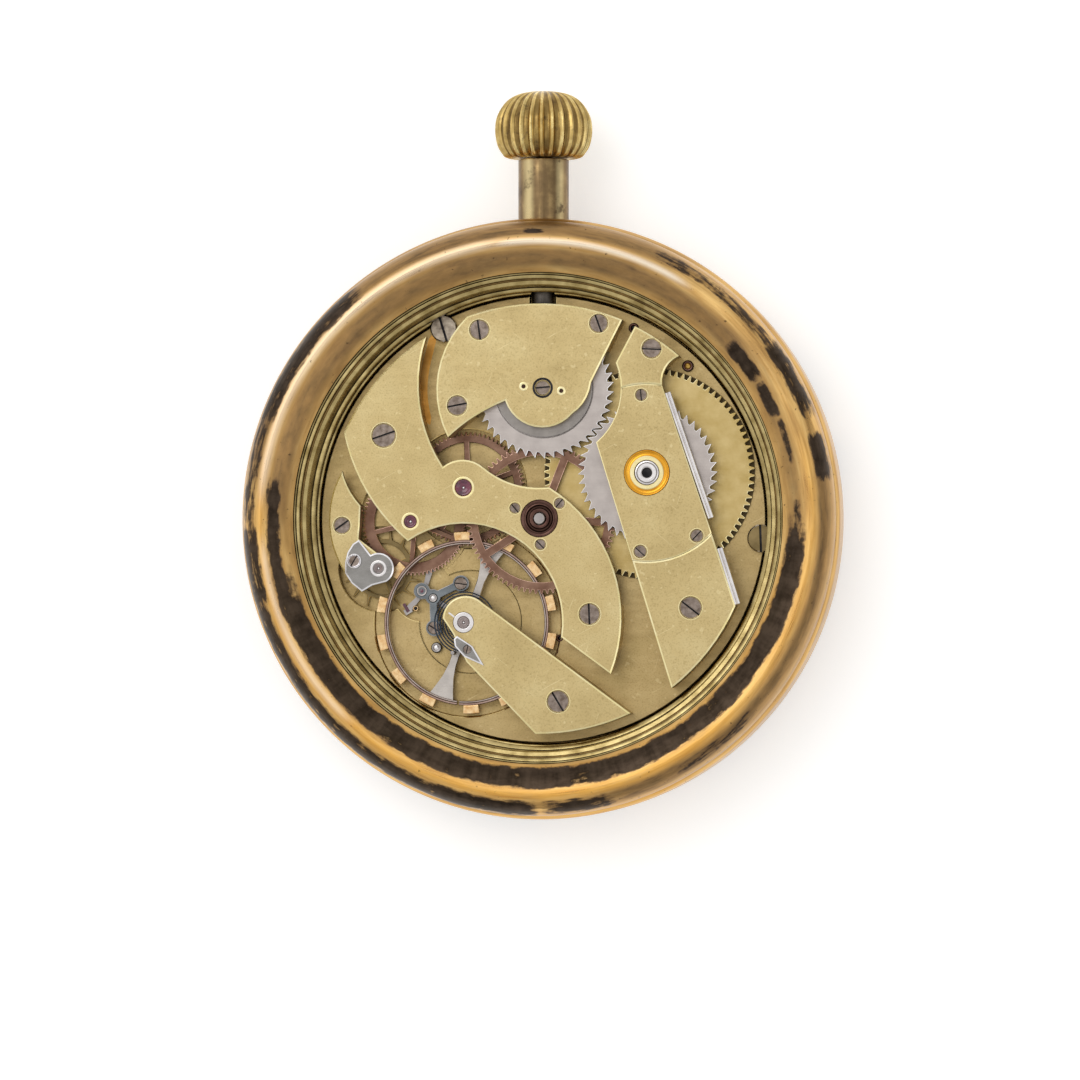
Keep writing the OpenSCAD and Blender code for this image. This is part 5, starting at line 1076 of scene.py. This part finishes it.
def trackFaces(at, inner, outer, rings, marks, low, top):
    # sixty marks, every fifth one heavier, and the printed rings beside them
    faces = []
    for i in range(60):
        faces += printedStroke(polar(inner, 6 * i, at), polar(outer, 6 * i, at), marks[i % 5 > 0], low, top)
    for r0, r1, steps in rings:
        faces += sweptFaces([(r0, low), (r1, low), (r1, top), (r0, top)], 0, 360, at, steps)
    return faces


def makeDialPrint(s):
    low, top = s["face"] - s["layer"], s["face"] + s["proud"]
    faces = []
    for value in range(12):
        if value == 6:
            continue  # the seconds circle takes its place
        out = Vector(polar(1, 30 * value))
        across = Vector((-out.y, out.x))
        for a, b, width in numeralStrokes(value, s):
            ends = [out * (s["numeral"] + p[1]) + across * p[0] for p in (a, b)]
            faces += printedStroke(*ends, width, low, top)
    rings = [(r - s["trackLine"], r + s["trackLine"], 180) for r in (s["trackIn"], s["trackOut"])]
    faces += trackFaces((0, 0), s["trackIn"], s["trackOut"], rings, s["marks"], low, top)
    r, sunk = s["secondsR"], s["secondsSunk"]
    faces += trackFaces(s["secondsAt"], r - 1.15, r - 0.6, [(r - 0.64, r - 0.57, 120)], s["secondsMarks"],
                        low + sunk, top + sunk)
    make("dial_print", faces, ["ink"], slot=slotOf["dial"], fine=True)


makeDialPrint(dialSizes)
dressed("dial", ["dial_enamel"])
dressed("crystal", ["crystal"], smooth=20)
for node in ("hour_hand", "minute_hand", "second_hand"):
    dressed(node, ["blued_steel"])
print("dial side made")


# Floor, light and camera

studio = {
    "floorHalf": 1.0, "floorGap": 0.02, "floorGlow": 0.35, "overhead": 0.25, "left": 0.35, "horizon": 0.5,
    # place, width across and power of each lamp
    "lamps": {"key": ((-220, 260, 620), 420, 0.62), "fill": ((320, -120, 560), 380, 0.2)},
}


def makeFloor(s):
    half = s["floorHalf"]
    mesh = bpy.data.meshes.new("floor")
    mesh.from_pydata([(-half, -half, 0), (half, -half, 0), (half, half, 0), (-half, half, 0)], [],
                     [(0, 1, 2, 3)])
    floor = bpy.data.objects.new("floor", mesh)
    floor.location.z = -s["floorGap"] * mm
    bpy.context.scene.collection.objects.link(floor)
    # a matt white table, a little brighter to the camera and in reflections than the lamps make it
    material = clouded("matt_white_table", ("#f3f3f2", "#f6f6f5"), 40.0, 0.9)
    tree = material.node_tree
    rays = add(tree, "LightPath").node.outputs
    seen = add(tree, "Math", [rays["Is Glossy Ray"], rays["Is Transmission Ray"]], operation="MAXIMUM")
    seen = add(tree, "Math", [rays["Is Camera Ray"], seen], operation="MAXIMUM")
    glow = add(tree, "Emission", {"Color": (1, 1, 1, 1),
                                  "Strength": add(tree, "Math", [seen, s["floorGlow"]], **times)})
    both = add(tree, "AddShader", [tree.nodes["Principled BSDF"].outputs[0], glow])
    join(tree.nodes["Material Output"], {"Surface": both})
    mesh.materials.append(material)


def makeWorld(s):
    # soft light from all round, stronger from above and from the upper left
    world = bpy.data.worlds.new("soft_studio")
    bpy.context.scene.world = world
    world.use_nodes = True
    tree = world.node_tree
    x, y, z = add(tree, "SeparateXYZ", [add(tree, "TexCoord", out="Generated")]).node.outputs
    height = add(tree, "MapRange", [z, 0.1, 0.95, 0.0, s["overhead"]], **eased)
    left = add(tree, "Math", [y, x], operation="SUBTRACT")
    left = add(tree, "MapRange", [left, -0.8, 1.2, 0.0, s["left"]], **eased)
    light = add(tree, "Math", [add(tree, "Math", [height, left], **plus), s["horizon"]], **plus)
    join(tree.nodes["Background"], {"Strength": light, "Color": "#ffffff"})


def makeLamp(name, at, size, power):
    light = bpy.data.lights.new(name, "AREA")
    light.shape = "DISK"
    light.size = size * mm
    light.energy = power
    holder = bpy.data.objects.new(name, light)
    holder.location = Vector(at) * mm
    holder.rotation_euler = (-holder.location).to_track_quat("-Z", "Y").to_euler()
    bpy.context.scene.collection.objects.link(holder)


makeFloor(studio)
makeWorld(studio)
for name, lamp in studio["lamps"].items():
    makeLamp(name, *lamp)

view = {"aim": (0.05, -2.07, 11.0), "lean": (0.105, -0.022), "distance": 600, "wide": 103.9, "sensor": 36}


def makeCamera(s):
    # looks down on the train side, a little from the right, with the crown up
    camera = bpy.data.cameras.new("camera")
    camera.sensor_width = s["sensor"]
    camera.lens = s["sensor"] * s["distance"] / s["wide"]
    camera.clip_start, camera.clip_end = 0.01, 10
    eye = bpy.data.objects.new("camera", camera)
    back = Vector((*s["lean"], 1)).normalized()
    eye.location = (Vector(s["aim"]) + back * s["distance"]) * mm
    right = Vector((0, 1, 0)).cross(back).normalized()
    eye.rotation_euler = Matrix((right, back.cross(right), back)).transposed().to_euler()
    bpy.context.scene.collection.objects.link(eye)
    bpy.context.scene.camera = eye
    bpy.context.scene.view_settings.view_transform = "Standard"


makeCamera(view)

print("camera and lights made")
